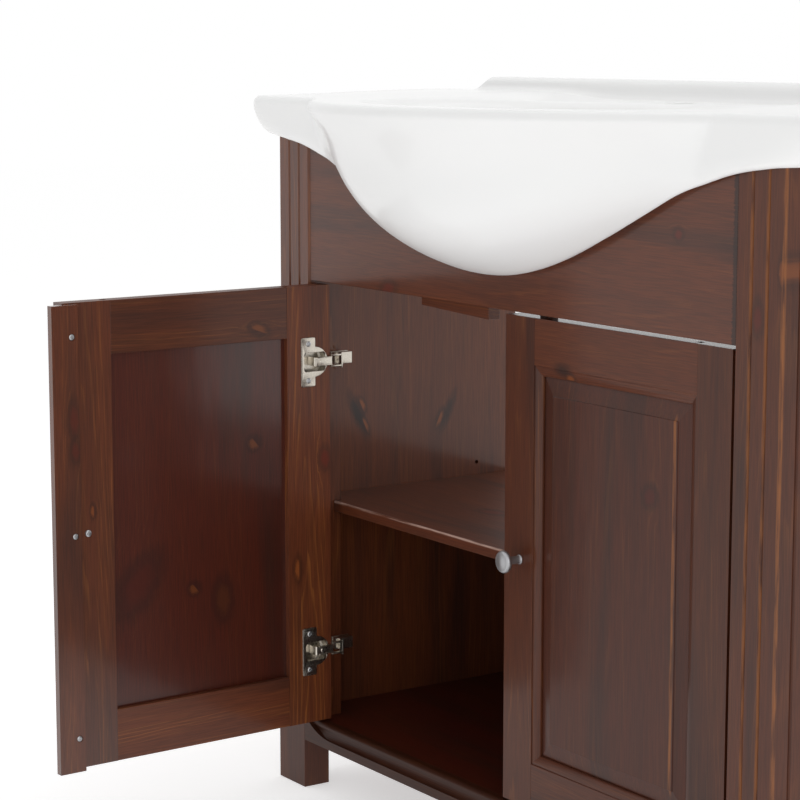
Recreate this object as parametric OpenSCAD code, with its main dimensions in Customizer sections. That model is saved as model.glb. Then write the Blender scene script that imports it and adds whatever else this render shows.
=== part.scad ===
// Vanity unit: a pine cabinet with fluted posts and two framed doors under a bow-front ceramic basin.
// Lengths are millimetres. X runs to the right, Y to the wall and Z up, with the front of the posts at y = 0
// before every piece is shifted by shift_y. The left door stands open by open_angle.

/* [Cabinet] */
// Width across the outer faces of the front posts
cab_w = 900; // [860:5:960]
// Depth from the front of the posts to the wall
cab_d = 350; // [340:5:420]
// Height of the flat underside of the basin above the floor
cab_h = 816; // [800:1:860]
// Width of a front post
post_w = 66; // [60:1:72]
// Depth of a front post
post_d = 44; // [42:1:50]
// Width of a groove between two flutes
flute_w = 4.5; // [3:0.5:6]
// Depth of a groove between two flutes
flute_d = 3; // [2:0.5:4]
// Thickness of the side panels
side_t = 18; // [15:1:20]
// Thickness of the bottom board
board_t = 18; // [15:1:20]
// Height of the top of the bottom board above the floor
base_h = 91; // [85:1:100]
// Setback of the frieze behind the front of the posts
frieze_in = 2; // [1:0.5:3]
// Height of the frieze below the underside of the basin
frieze_h = 174; // [168:1:180]
// Thickness of the upper back rail
rail_t = 18; // [15:1:20]
// Height of the upper back rail
upper_rail_h = 70; // [60:5:90]
// Thickness of the board that closes the back below the shelf
back_t = 8; // [6:1:12]

/* [Feet and base rail] */
// Width of a foot
foot_w = 60; // [54:1:62]
// Depth of a foot
foot_d = 36; // [34:1:40]
// Distance a front foot stands proud of its post
foot_proud = 4; // [2:0.5:6]
// Height of the front base rail
base_rail_h = 29; // [26:1:34]
// Thickness of the front base rail
base_rail_t = 18; // [15:1:20]
// Height of the flat face below the moulding
base_face_h = 11; // [9:1:13]
// Depth of the hollow of the moulding
cove_d = 7; // [5:0.5:9]
// Length of the run-out at each end of the moulding
cove_run = 58; // [40:1:80]

/* [Doors] */
// Gap between the two closed doors
meet_gap = 26; // [24:1:30]
// Gap between the frieze and a door
top_gap = 4; // [3:0.5:6]
// Thickness of a door
door_t = 20; // [19:0.5:22]
// Setback of a closed door behind the front of the posts
door_in = 4; // [3:0.5:6]
// Gap between a door and its post
door_gap = 6; // [5:0.5:8]
// Gap under a door
door_lift = 4; // [3:0.5:6]
// Flat width of a stile or rail in front
frame_flat = 51; // [49:1:56]
// Width of the moulded inner edge of the frame
stick_w = 11; // [8:1:14]
// Depth of the moulded inner edge of the frame
stick_d = 5.5; // [4:0.5:6]
// Width of the bevel around the raised field
bevel_w = 19; // [14:1:24]
// Thickness of the panel where it enters the grooves
tongue_t = 6; // [5:0.5:7]
// Depth of the panel groove in the frame
groove_d = 8; // [7:0.5:10]
// Angle by which the left door stands open
open_angle = 88; // [60:1:100]

/* [Closing strip] */
// Width of the strip behind the free edge of the left door
strip_w = 33; // [28:1:36]
// Thickness of the strip
strip_t = 9; // [7:0.5:9]
// Distance the strip reaches past the door's edge
strip_over = 18; // [14:1:20]
// Amount by which the strip sits lower than the door
strip_drop = 1.5; // [0:0.5:2]

/* [Knobs] */
// Diameter of a knob head
knob_d = 25; // [20:1:30]
// Projection of a knob from the door
knob_l = 27; // [22:1:32]
// Distance of a knob from the free edge
knob_x = 28; // [24:1:34]
// Height of the knobs above the floor
knob_z = 371; // [340:1:400]

/* [Hinges] */
// Diameter of a hinge cup
cup_d = 35; // [34.5:0.1:35.5]
// Depth of a hinge cup
cup_l = 12.5; // [12:0.5:13]
// Distance of the cup's centre from the hinge edge
cup_x = 22.5; // [22:0.5:23]
// Distance of the upper hinge from the upper end of the door
hinge_down = 93; // [80:1:120]
// Distance of the lower hinge from the lower end of the door
hinge_up = 90; // [80:1:120]
// Distance of the pivot axis from the hinge edge
pivot_x = 4; // [3.5:0.1:4.5]
// Distance of the pivot axis behind the door's front
pivot_y = 5.5; // [5:0.1:6]

/* [Shelf] */
// Height of the top of the shelf above the floor
shelf_z = 365; // [320:1:420]
// Thickness of the shelf
shelf_t = 13; // [12:1:18]
// Gap between the closing strip and the shelf
shelf_gap = 1; // [1:1:26]
// Diameter of a shelf pin
shelf_pin_d = 5; // [4:0.5:6]

/* [Basin] */
// Reach of the basin past each side of the cabinet
basin_side = 75; // [50:5:100]
// Thickness of the basin at its wings
wing_t = 44; // [38:1:50]
// Reach of the wings in front of the posts
wing_out = 12; // [6:1:20]
// Reach of the bowed front beyond the wings
bow_out = 142; // [120:1:160]
// Half width of the bowed front
bow_half = 355; // [330:1:380]
// Depth of the belly below the underside of the wings
belly_h = 128; // [120:1:140]
// Depth of the bowl below the rim
bowl_h = 135; // [120:1:137]
// Half width of the bowl
bowl_rx = 255; // [235:1:262]
// Half depth of the bowl from front to back
bowl_ry = 165; // [150:1:168]
// Height of the ledge at the back
ledge_h = 24; // [16:1:32]
// Depth of the ledge at the back
ledge_d = 50; // [40:1:55]
// Radius of the waste bore
waste_r = 23; // [20:0.5:24]
// Radius of the tap bore
tap_r = 17.5; // [16:0.5:18]

/* [Hidden] */
// Clearance between neighbouring pieces that must not touch
clear = 0.3;
// Radial clearance of a screw or pin in its hole
fit = 0.05;
// Overshoot of cutting shapes
over = 1;
round_fn = 48;

half_w = cab_w / 2;
open_x = half_w - post_w;
edge_x = open_x - door_gap;
side_x = half_w - side_t;
rim_z = cab_h + wing_t;
frieze_z = cab_h - frieze_h;
door_w = open_x - door_gap - meet_gap / 2;
door_z = base_h + door_lift;
door_h = frieze_z - top_gap - door_z;
hinge_top = door_z + door_h - hinge_down;
hinge_low = door_z + hinge_up;
door_back = door_in + door_t;
shelf_in = door_back + strip_t + shelf_gap;
frieze_back = door_back + clear;
strip_w_on = strip_w - strip_over;
foot_x = half_w + foot_proud - foot_w;
board_z = base_h - board_t;
frame_w = frame_flat + stick_w;
field_x = frame_w + bevel_w;
tongue_y = stick_d + 1.5;
axis_x = edge_x - pivot_x;
axis_y = door_in + pivot_y;

// The screws of a cup, a mounting plate, the strip and the knobs
cup_screw_span = 45;
cup_screw_in = 9.5;
screw_r = 1.7;
screw_l = 12;
screw_head_r = 3.4;
screw_head_h = 1.4;
strip_screw_end = 38;
knob_screw_r = 2;

// The arm of a hinge, in coordinates from the pivot axis
arm_in = 16;
arm_t = 2;
arm_half = 7.6;
prong_gap = 5.6;
link_half = 5.2;
prong_y = 4;
bridge_y = 19;
bridge_end = 24;
block_y = 20;
block_l = 24;
plate_t = 3;
plate_half = 18;

// The reach of the open left door sets the front of the bounding box
tip_dx = door_w - pivot_x + strip_over;
tip_dy = door_t - pivot_y;
front_reach = tip_dx * sin(open_angle) - axis_y
  - min(tip_dy * cos(open_angle), (tip_dy + strip_t) * cos(open_angle));
shift_y = (front_reach - cab_d) / 2;

walnut = [0.30, 0.17, 0.12];
walnut_dark = [0.24, 0.13, 0.10];
pine_edge = [0.36, 0.21, 0.14];
ceramic = [0.95, 0.95, 0.96];
nickel = [0.75, 0.74, 0.72];

function clamp(v) = min(1, max(0, v));
function ease(v) = (1 - cos(180 * clamp(v))) / 2;
function circular(v) = 1 - sqrt(max(0, 1 - v * v));

// The shape of the basin

basin_half = half_w + basin_side;
corner_r = 45;
roll_r = 10;
under_flat = 100;
under_run = 190;
bowl_y = 55;
bowl_flat = 0.24;
bowl_power = 1.5;
tap_y = 257;
waste_y = 60;
ledge_end = 4;
ledge_slope = 45;
pocket_r = 32;
tap_seat = 18;

// Shares of the half width at which a cross-section is taken
shares = [0, 0.045, 0.1, 0.16, 0.22, 0.28, 0.34, 0.4, 0.448, 0.476, 0.505, 0.55, 0.605, 0.65,
  0.676, 0.724, 0.781, 0.838, 0.89, 0.93, 0.96, 0.982, 0.995];
stations = concat([for (i = [len(shares) - 1:-1:1]) -shares[i] * basin_half],
  [for (s = shares) s * basin_half]);

// Front of the belly, as shares of its reach and of its height from the underside to the rim
front_line = [[0.10, 0.008], [0.21, 0.035], [0.38, 0.10], [0.55, 0.19], [0.68, 0.29], [0.76, 0.39],
  [0.805, 0.49], [0.83, 0.60], [0.86, 0.70], [0.905, 0.80], [0.96, 0.90], [1, 1]];
// Ledge outline, as distances from the ledge front or the wall and shares of its height
ledge_front = [[-6, 0], [0, 0.3], [3, 0.75], [9, 1]];
ledge_back = [[7, 1], [2, 0.88], [0, 0.6]];

// Share of the end rounding at x, 0 inside it and 1 at the very end
function at_end(x, r) = clamp((abs(x) - basin_half + r) / r);
function apron_z(x) = cab_h - belly_h * (1 - ease(abs(x) / half_w));
function under_z(x, y) = cab_h - (cab_h - apron_z(x)) * (1 - ease((y - under_flat) / under_run))
  + (wing_t - roll_r) * circular(at_end(x, corner_r));
function root_y(x) = corner_r * circular(at_end(x, corner_r));
function front_y(x) = root_y(x) - wing_out - bow_out * max(0, 1 - pow(x / bow_half, 2));
// Point at share f of the way from the front of the underside to the wall
function under_y(x, f) = root_y(x) + f * (cab_d - root_y(x));
function top_z(x) = rim_z - 0.8 * roll_r * circular(at_end(x, roll_r));
function bowl_rho(x, y) = sqrt(pow(x / bowl_rx, 2) + pow((y - bowl_y) / bowl_ry, 2));
function bowl_share(x, y) = 1 - ease(pow(clamp((bowl_rho(x, y) - bowl_flat) / (1 - bowl_flat)), bowl_power));
function ledge_share(x) = 1 - ease((abs(x) - basin_half + ledge_end + ledge_slope) / ledge_slope);
function deck_start(x) = front_y(x) + roll_r + 8;
deck_end = cab_d - ledge_d - 14;
deck_steps = 18;

function section(x) = concat(
  [for (f = [1, 0.86, 0.74, 0.62, 0.5, 0.38, 0.27, 0.14, 0])
    [x, under_y(x, f), under_z(x, under_y(x, f))]],
  [for (p = front_line) [x, root_y(x) + (front_y(x) - root_y(x)) * p[0],
    under_z(x, 0) + (rim_z - roll_r - under_z(x, 0)) * p[1]]],
  [for (a = [30, 60, 90]) [x, front_y(x) + roll_r * (1 - cos(a)),
    rim_z - roll_r + (top_z(x) - rim_z + roll_r) * sin(a)]],
  [for (k = [0:deck_steps]) let(y = deck_start(x)
    + (deck_end - deck_start(x)) * ease(k / deck_steps))
    [x, y, top_z(x) - bowl_h * bowl_share(x, y)]],
  [for (p = ledge_front) [x, cab_d - ledge_d + p[0], top_z(x) + ledge_h * ledge_share(x) * p[1]]],
  [for (p = ledge_back) [x, cab_d - p[0], top_z(x) + ledge_h * ledge_share(x) * p[1]]]);

// Underside of the basin over the frieze and the posts, along the same chords as the basin itself
chords = [for (x = stations) [x, apron_z(x)]];
function chord_z(x) = lookup(x, chords);

module shifted() {
  translate([0, shift_y, 0]) children();
}

// Middle of the end face at x
function end_centre(x) = [x, under_y(x, 0.5), (under_z(x, under_y(x, 0.5)) + top_z(x)) / 2];

module washbasin() {
  rows = [for (x = stations) section(x)];
  ends = [end_centre(stations[0]), end_centre(stations[len(stations) - 1])];
  n = len(rows[0]);
  last = len(rows) - 1;
  color(ceramic) shifted() difference() {
    polyhedron(
      points = concat([for (row = rows) each row], ends),
      faces = concat(
        [for (j = [0:n - 1]) [(last + 1) * n, (j + 1) % n, j]],
        [for (j = [0:n - 1]) [(last + 1) * n + 1, last * n + j, last * n + (j + 1) % n]],
        [for (i = [0:last - 1]) for (j = [0:n - 1]) stations[i] < 0
          ? [i * n + j, i * n + (j + 1) % n, (i + 1) * n + (j + 1) % n]
          : [i * n + j, i * n + (j + 1) % n, (i + 1) * n + j]],
        [for (i = [0:last - 1]) for (j = [0:n - 1]) stations[i] < 0
          ? [i * n + j, (i + 1) * n + (j + 1) % n, (i + 1) * n + j]
          : [(i + 1) * n + j, i * n + (j + 1) % n, (i + 1) * n + (j + 1) % n]]));
    translate([0, waste_y, cab_h - belly_h - over])
      cylinder(r = waste_r, h = wing_t + belly_h + 2 * over, $fn = round_fn);
    translate([0, tap_y, cab_h - belly_h]) cylinder(r = tap_r, h = 2 * belly_h, $fn = round_fn);
    translate([0, tap_y, cab_h - belly_h])
      cylinder(r = pocket_r, h = belly_h + wing_t - tap_seat, $fn = round_fn);
  }
}

module v_groove(h) {
  linear_extrude(height = h) polygon([[-flute_w / 2, -over], [-flute_w / 2, 0], [0, flute_d],
    [flute_w / 2, 0], [flute_w / 2, -over]]);
}

// Front view of everything between x0 and x1 that lies above the basin's underside
module above_basin(x0, x1) {
  inner = [for (c = chords) if (c[0] > x0 && c[0] < x1) [c[0], c[1] - clear]];
  translate([0, cab_d, 0]) rotate([90, 0, 0]) linear_extrude(height = 2 * cab_d)
    polygon(concat([[x0 - over, chord_z(x0) - clear], [x0, chord_z(x0) - clear]], inner,
      [[x1, chord_z(x1) - clear], [x1 + over, chord_z(x1) - clear], [x1 + over, rim_z + over],
        [x0 - over, rim_z + over]]));
}

// Right-hand front post, with three flutes in front and two on its outer side
module front_post() {
  strip = post_w / 3;
  difference() {
    translate([open_x, 0, base_h]) cube([post_w, post_d, cab_h - base_h]);
    for (i = [0:2]) translate([open_x + i * strip, 0, base_h - over]) v_groove(cab_h);
    translate([half_w, post_d / 2, base_h - over]) rotate([0, 0, 90]) v_groove(cab_h);
    above_basin(open_x, half_w);
    for (z = [hinge_low, hinge_top]) plate_screw_places(z)
      cylinder(r = screw_r + fit, h = screw_l + over, $fn = 24);
  }
}

module left_front_post() {
  color(walnut) shifted() mirror([1, 0, 0]) front_post();
}

module right_front_post() {
  color(walnut) shifted() front_post();
}

pin_hole_l = 10;
pin_out = 8;
pin_step = 32;
pin_y = [61, 288];

module pin_holes(x) {
  for (y = pin_y) for (i = [-1:1])
    translate([x, y, shelf_z - shelf_t - shelf_pin_d / 2 + i * pin_step]) rotate([0, 90, 0])
      cylinder(r = shelf_pin_d / 2 + fit, h = pin_hole_l + over, $fn = 24);
}

module side_panel() {
  difference() {
    translate([side_x, post_d, board_z]) cube([side_t, cab_d - post_d, cab_h - 0.8 - board_z]);
    pin_holes(side_x - over);
  }
}

module left_side_panel() {
  color(walnut) shifted() mirror([1, 0, 0]) side_panel();
}

module right_side_panel() {
  color(walnut) shifted() side_panel();
}

module front_frieze() {
  color(walnut) shifted() difference() {
    translate([-open_x, frieze_in, frieze_z]) cube([2 * open_x, frieze_back - frieze_in, cab_h - frieze_z]);
    above_basin(-open_x, open_x);
    for (s = [-1, 1]) translate([s * open_x, 0, frieze_z - over]) v_groove(cab_h);
  }
}

cleat_x = [47, 178];
cleat_drop = [18, 13];
cleat_t = 16;
cleat_h = 30;
cleat_top = frieze_z + cleat_h;

// Stop behind the frieze that the right-hand door closes against
module stop_cleat() {
  translate([0, frieze_back + cleat_t, 0]) rotate([90, 0, 0]) linear_extrude(height = cleat_t)
    polygon([[cleat_x[0], frieze_z - cleat_drop[0]], [cleat_x[1], frieze_z - cleat_drop[1]],
      [cleat_x[1], cleat_top], [cleat_x[0], cleat_top]]);
}

module left_stop_cleat() {
  color(walnut_dark) shifted() mirror([1, 0, 0]) stop_cleat();
}

module right_stop_cleat() {
  color(walnut_dark) shifted() stop_cleat();
}

wall_screw_r = 4;
wall_screw_x = 300;

module upper_back_rail() {
  color(walnut_dark) shifted() difference() {
    translate([-side_x, cab_d - rail_t, cab_h - upper_rail_h]) cube([2 * side_x, rail_t, upper_rail_h]);
    for (s = [-1, 1]) translate([s * wall_screw_x, cab_d + over, cab_h - upper_rail_h / 2])
      rotate([90, 0, 0]) cylinder(r = wall_screw_r, h = rail_t + 2 * over, $fn = 32);
  }
}

module lower_back_board() {
  color(walnut_dark) shifted()
    translate([-side_x, cab_d - back_t, base_h]) cube([2 * side_x, back_t, shelf_z - base_h]);
}

module bottom_board() {
  foot_back = foot_d - foot_proud;
  rail_back = base_rail_t - foot_proud;
  color(walnut) shifted() translate([0, 0, board_z]) linear_extrude(height = board_t)
    polygon([[-foot_x, rail_back], [foot_x, rail_back], [foot_x, foot_back], [side_x, foot_back],
      [side_x, cab_d], [-side_x, cab_d], [-side_x, foot_back], [-foot_x, foot_back]]);
}

// Front view of the hollow of the base rail, rising in an arc towards both ends
module cove_front() {
  steps = 12;
  z0 = base_h - base_rail_h + base_face_h;
  polygon(concat(
    [for (i = [0:steps]) [-foot_x + 4 + cove_run * i / steps, base_h - (base_h - z0) * ease2(i / steps)]],
    [for (i = [steps:-1:0]) [foot_x - 4 - cove_run * i / steps, base_h - (base_h - z0) * ease2(i / steps)]],
    [[foot_x - 4, base_h + over], [-foot_x + 4, base_h + over]]));
}

// Rises quickly at first and then levels out
function ease2(v) = 1 - pow(1 - v, 2.2);

// Side view of the hollow: a cove, a small step and a rounded top edge
module cove_side() {
  y0 = -foot_proud;
  z0 = base_h - base_rail_h + base_face_h;
  h = base_h - z0;
  polygon(concat(
    [[y0 - over, z0], [y0, z0]],
    [for (a = [15:15:90]) [y0 + cove_d * sin(a), z0 + 0.5 * h * (1 - cos(a))]],
    [[y0 + cove_d, z0 + 0.62 * h], [y0 + cove_d - 2, z0 + 0.66 * h]],
    [for (a = [0:15:90]) [y0 + cove_d - 2 + 6 * (1 - cos(a)), z0 + (0.72 + 0.28 * sin(a)) * h]],
    [[y0 + cove_d + 4, base_h + over], [y0 - over, base_h + over]]));
}

module front_base_rail() {
  color(walnut) shifted() difference() {
    translate([-foot_x, -foot_proud, base_h - base_rail_h]) cube([2 * foot_x, base_rail_t, base_rail_h]);
    intersection() {
      translate([0, base_rail_t, 0]) rotate([90, 0, 0]) linear_extrude(height = 2 * base_rail_t) cove_front();
      translate([-foot_x, 0, 0]) rotate([90, 0, 90]) linear_extrude(height = 2 * foot_x) cove_side();
    }
  }
}

module front_foot() {
  translate([foot_x, -foot_proud, 0]) cube([foot_w, foot_d, base_h]);
}

module rear_foot() {
  translate([foot_x, cab_d - foot_d, 0]) cube([half_w - foot_x, foot_d, board_z]);
}

module left_front_foot() {
  color(walnut) shifted() mirror([1, 0, 0]) front_foot();
}

module right_front_foot() {
  color(walnut) shifted() front_foot();
}

module left_rear_foot() {
  color(walnut) shifted() mirror([1, 0, 0]) rear_foot();
}

module right_rear_foot() {
  color(walnut) shifted() rear_foot();
}

module shelf() {
  wide = side_x - clear;
  narrow = open_x - 1;
  back = cab_d - back_t - 1;
  color(walnut) shifted() translate([0, 0, shelf_z - shelf_t]) linear_extrude(height = shelf_t)
    polygon([[-narrow, shelf_in], [narrow, shelf_in], [narrow, post_d + 1], [wide, post_d + 1],
      [wide, back], [-wide, back], [-wide, post_d + 1], [-narrow, post_d + 1]]);
}

module shelf_pins() {
  color(nickel) shifted() for (s = [0, 1]) mirror([s, 0, 0]) for (y = pin_y)
    translate([side_x - pin_out, y, shelf_z - shelf_t - shelf_pin_d / 2]) rotate([0, 90, 0])
      cylinder(r = shelf_pin_d / 2, h = pin_out + pin_hole_l - 1, $fn = 24);
}

// Each door has its own frame: x from the hinge edge, y from the door's front, z from its bottom

module on_left_door() {
  shifted() translate([-axis_x, axis_y, 0]) rotate([0, 0, -open_angle])
    translate([-pivot_x, -pivot_y, door_z]) children();
}

module on_right_door() {
  shifted() mirror([1, 0, 0]) translate([-edge_x, door_in, door_z]) children();
}

hinge_heights = [hinge_low - door_z, hinge_top - door_z];
knob_height = knob_z - door_z;
groove_x = frame_w - groove_d;

// Section of a stile or rail: outer edge at 0, moulded and grooved inner edge at frame_w
module frame_section() {
  polygon(concat(
    [[0, 0], [frame_flat, 0], [frame_flat, 1.2]],
    [for (a = [15:15:90]) [frame_flat + stick_w * sin(a), 1.2 + (stick_d - 1.2) * (1 - cos(a))]],
    [[frame_w, tongue_y], [groove_x, tongue_y], [groove_x, tongue_y + tongue_t],
      [frame_w, tongue_y + tongue_t], [frame_w, door_t], [0, door_t]]));
}

module stile() {
  linear_extrude(height = door_h) frame_section();
}

module both_stiles() {
  stile();
  translate([door_w, 0, 0]) mirror([1, 0, 0]) stile();
}

// Bottom rail, coped over the mouldings of the stiles
module low_rail() {
  difference() {
    translate([frame_flat, 0, 0]) multmatrix([[0, 0, 1, 0], [0, 1, 0, 0], [1, 0, 0, 0]])
      linear_extrude(height = door_w - 2 * frame_flat) frame_section();
    both_stiles();
    for (x = [0, door_w - frame_w]) translate([x, tongue_y - 0.01, -over])
      cube([frame_w, tongue_t + 0.02, door_h + 2 * over]);
  }
}

module high_rail() {
  translate([0, 0, door_h]) mirror([0, 0, 1]) low_rail();
}

// Section of the raised panel across a width w, with its tongues inside the grooves
module panel_section(w) {
  t0 = groove_x + 2;
  field_y = 2;
  polygon([[t0, tongue_y], [frame_w, tongue_y], [field_x, field_y + 1.2], [field_x, field_y],
    [w - field_x, field_y], [w - field_x, field_y + 1.2], [w - frame_w, tongue_y], [w - t0, tongue_y],
    [w - t0, tongue_y + tongue_t], [t0, tongue_y + tongue_t]]);
}

module panel() {
  intersection() {
    linear_extrude(height = door_h) panel_section(door_w);
    multmatrix([[0, 0, 1, 0], [0, 1, 0, 0], [1, 0, 0, 0]]) linear_extrude(height = door_w)
      panel_section(door_h);
  }
}

module cup_screw_places() {
  for (h = hinge_heights) for (s = [-1, 1])
    translate([cup_x + cup_screw_in, door_t, h + s * cup_screw_span / 2]) rotate([90, 0, 0]) children();
}

strip_screw_z = [strip_screw_end, knob_height, door_h - strip_screw_end];

module strip_screw_places() {
  for (h = strip_screw_z) translate([door_w - strip_w_on / 2, door_t + strip_t, h])
    rotate([90, 0, 0]) children();
}

module hinge_stile() {
  difference() {
    stile();
    for (h = hinge_heights) translate([cup_x, door_t + over, h]) rotate([90, 0, 0])
      cylinder(r = cup_d / 2 + fit, h = cup_l + 0.1 + over, $fn = round_fn);
    cup_screw_places() cylinder(r = screw_r + fit, h = screw_l, $fn = 24);
  }
}

module free_stile(with_strip) {
  difference() {
    translate([door_w, 0, 0]) mirror([1, 0, 0]) stile();
    translate([door_w - knob_x, door_t + over, knob_height]) rotate([90, 0, 0])
      cylinder(r = knob_screw_r + 4 * fit, h = door_t + 2 * over, $fn = 24);
    if (with_strip) strip_screw_places() cylinder(r = screw_r + fit, h = strip_t + screw_l, $fn = 24);
  }
}

// Mushroom knob on a waisted stem, turned about an axis that points out of the door
module knob() {
  r = knob_d / 2;
  translate([door_w - knob_x, 0, knob_height]) rotate([90, 0, 0]) difference() {
    rotate_extrude($fn = round_fn) polygon(concat(
      [[0, 0], [6.5, 0], [6.5, 1.5], [4.8, 4], [4.5, knob_l - 11], [7, knob_l - 9], [r - 1, knob_l - 8],
        [r, knob_l - 6.5], [r, knob_l - 4.5]],
      [for (a = [15:15:90]) [r - 2.5 + 2.5 * cos(a), knob_l - 4.5 + 3 * sin(a)]],
      [[r / 2, knob_l - 0.5], [0, knob_l]]));
    translate([0, 0, -over]) cylinder(r = knob_screw_r + fit, h = 12 + over, $fn = 24);
  }
}

module knob_screw() {
  translate([door_w - knob_x, door_t, knob_height]) rotate([90, 0, 0]) {
    cylinder(r = knob_screw_r, h = door_t + 10, $fn = 24);
    translate([0, 0, -2.2]) difference() {
      cylinder(r = 4, h = 2.2, $fn = 32);
      translate([-0.5, -5, -over]) cube([1, 10, over + 0.9]);
    }
  }
}

module strip_body() {
  z0 = -strip_drop;
  difference() {
    translate([door_w - strip_w_on, door_t, z0]) cube([strip_w, strip_t, door_h]);
    strip_screw_places() translate([0, 0, -over]) cylinder(r = screw_r + fit, h = strip_t + 2 * over, $fn = 24);
    strip_screw_places() translate([0, 0, -over])
      cylinder(r = screw_head_r + 0.4, h = screw_head_h + over, $fn = 32);
  }
}

// Wood screw of length l with a cross recess, head at z = 0 and shank along +z
module wood_screw(l) {
  difference() {
    union() {
      cylinder(r = screw_head_r, h = screw_head_h, $fn = 32);
      cylinder(r = screw_r, h = l, $fn = 24);
    }
    for (a = [0, 90]) rotate([0, 0, a]) translate([-2, -0.4, -over]) cube([4, 0.8, over + 0.7]);
  }
}

cup_wall = 1;
flange_x = 22;
flange_w = 20.5;
flange_half = 30;
flange_t = 1;

// Cup let into the stile, with the flange that carries its two screws
module hinge_cup(h) {
  translate([0, 0, h]) difference() {
    union() {
      translate([cup_x, door_t + flange_t, 0]) rotate([90, 0, 0])
        cylinder(r = cup_d / 2, h = cup_l + flange_t, $fn = round_fn);
      translate([flange_x, door_t, -flange_half]) cube([flange_w, flange_t, 2 * flange_half]);
    }
    translate([cup_x, door_t + flange_t + over, 0]) rotate([90, 0, 0])
      cylinder(r = cup_d / 2 - cup_wall, h = cup_l + flange_t - cup_wall + over, $fn = round_fn);
    for (s = [-1, 1]) translate([cup_x + cup_screw_in, door_t + flange_t + over, s * cup_screw_span / 2])
      rotate([90, 0, 0]) cylinder(r = screw_r + fit, h = flange_t + 2 * over, $fn = 24);
  }
}

link_x = [-1.5, 24.5];
link_foot = 4.5;

// Link that stands in the cup and reaches between the prongs of the arm
module hinge_link(h) {
  floor_y = door_t - cup_l + cup_wall;
  y1 = door_t + flange_t;
  translate([0, 0, h - link_half]) linear_extrude(height = 2 * link_half)
    polygon([[link_x[0], y1], [link_x[1] - link_foot, y1], [link_x[1] - link_foot, floor_y],
      [link_x[1], floor_y], [link_x[1], y1 + arm_t], [link_x[0], y1 + arm_t]]);
}

module cup_screws() {
  cup_screw_places() translate([0, 0, -flange_t - screw_head_h]) wood_screw(screw_l);
}

// The cabinet side of the hinges is drawn on the left and mirrored for the right
module plate_screw_places(z) {
  for (s = [-1, 1]) translate([open_x, axis_y + block_y + 7.5, z + s * 12.5]) rotate([0, 90, 0]) children();
}

module hinge_arm(z) {
  x_post = axis_x - open_x;
  translate([-axis_x, axis_y, z]) {
    for (s = [-1, 1]) translate([arm_in, prong_y, s > 0 ? prong_gap : -arm_half])
      cube([arm_t, bridge_y - prong_y, arm_half - prong_gap]);
    translate([0, 0, -arm_half]) linear_extrude(height = 2 * arm_half)
      polygon([[arm_in, bridge_y], [arm_in + arm_t, bridge_y], [arm_in + arm_t, bridge_y + arm_t],
        [arm_t, bridge_end + 1.2 * arm_t], [arm_t, block_y + block_l],
        [x_post + plate_t, block_y + block_l], [x_post + plate_t, block_y], [arm_t, block_y],
        [arm_t, bridge_end]]);
  }
}

module hinge_plate(z) {
  difference() {
    translate([-open_x, axis_y + block_y, z - plate_half]) cube([plate_t, block_l, 2 * plate_half]);
    mirror([1, 0, 0]) plate_screw_places(z) translate([0, 0, -plate_t - over])
      cylinder(r = screw_r + fit, h = plate_t + 2 * over, $fn = 24);
  }
}

module plate_screws(z) {
  mirror([1, 0, 0]) plate_screw_places(z) translate([0, 0, -plate_t - screw_head_h]) wood_screw(screw_l);
}

module left_hinge_arms() {
  color(nickel) shifted() for (z = [hinge_low, hinge_top]) hinge_arm(z);
}

module right_hinge_arms() {
  color(nickel) shifted() mirror([1, 0, 0]) for (z = [hinge_low, hinge_top]) hinge_arm(z);
}

module left_hinge_plates() {
  color(nickel) shifted() for (z = [hinge_low, hinge_top]) hinge_plate(z);
}

module right_hinge_plates() {
  color(nickel) shifted() mirror([1, 0, 0]) for (z = [hinge_low, hinge_top]) hinge_plate(z);
}

module left_plate_screws() {
  color(nickel) shifted() for (z = [hinge_low, hinge_top]) plate_screws(z);
}

module right_plate_screws() {
  color(nickel) shifted() mirror([1, 0, 0]) for (z = [hinge_low, hinge_top]) plate_screws(z);
}

module left_hinge_stile() {
  color(walnut) on_left_door() hinge_stile();
}

module left_free_stile() {
  color(walnut) on_left_door() free_stile(true);
}

module left_top_rail() {
  color(pine_edge) on_left_door() high_rail();
}

module left_bottom_rail() {
  color(pine_edge) on_left_door() low_rail();
}

module left_panel() {
  color(walnut_dark) on_left_door() panel();
}

module left_knob() {
  color(nickel) on_left_door() knob();
}

module left_knob_screw() {
  color(nickel) on_left_door() knob_screw();
}

module closing_strip() {
  color(walnut) on_left_door() strip_body();
}

module strip_screws() {
  color(nickel) on_left_door() strip_screw_places() wood_screw(strip_t + screw_l - 1);
}

module left_hinge_cups() {
  color(nickel) on_left_door() for (h = hinge_heights) hinge_cup(h);
}

module left_hinge_links() {
  color(nickel) on_left_door() for (h = hinge_heights) hinge_link(h);
}

module left_cup_screws() {
  color(nickel) on_left_door() cup_screws();
}

module right_hinge_stile() {
  color(walnut) on_right_door() hinge_stile();
}

module right_free_stile() {
  color(walnut) on_right_door() free_stile(false);
}

module right_top_rail() {
  color(pine_edge) on_right_door() high_rail();
}

module right_bottom_rail() {
  color(pine_edge) on_right_door() low_rail();
}

module right_panel() {
  color(walnut_dark) on_right_door() panel();
}

module right_knob() {
  color(nickel) on_right_door() knob();
}

module right_knob_screw() {
  color(nickel) on_right_door() knob_screw();
}

module right_hinge_cups() {
  color(nickel) on_right_door() for (h = hinge_heights) hinge_cup(h);
}

module right_hinge_links() {
  color(nickel) on_right_door() for (h = hinge_heights) hinge_link(h);
}

module right_cup_screws() {
  color(nickel) on_right_door() cup_screws();
}

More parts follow.
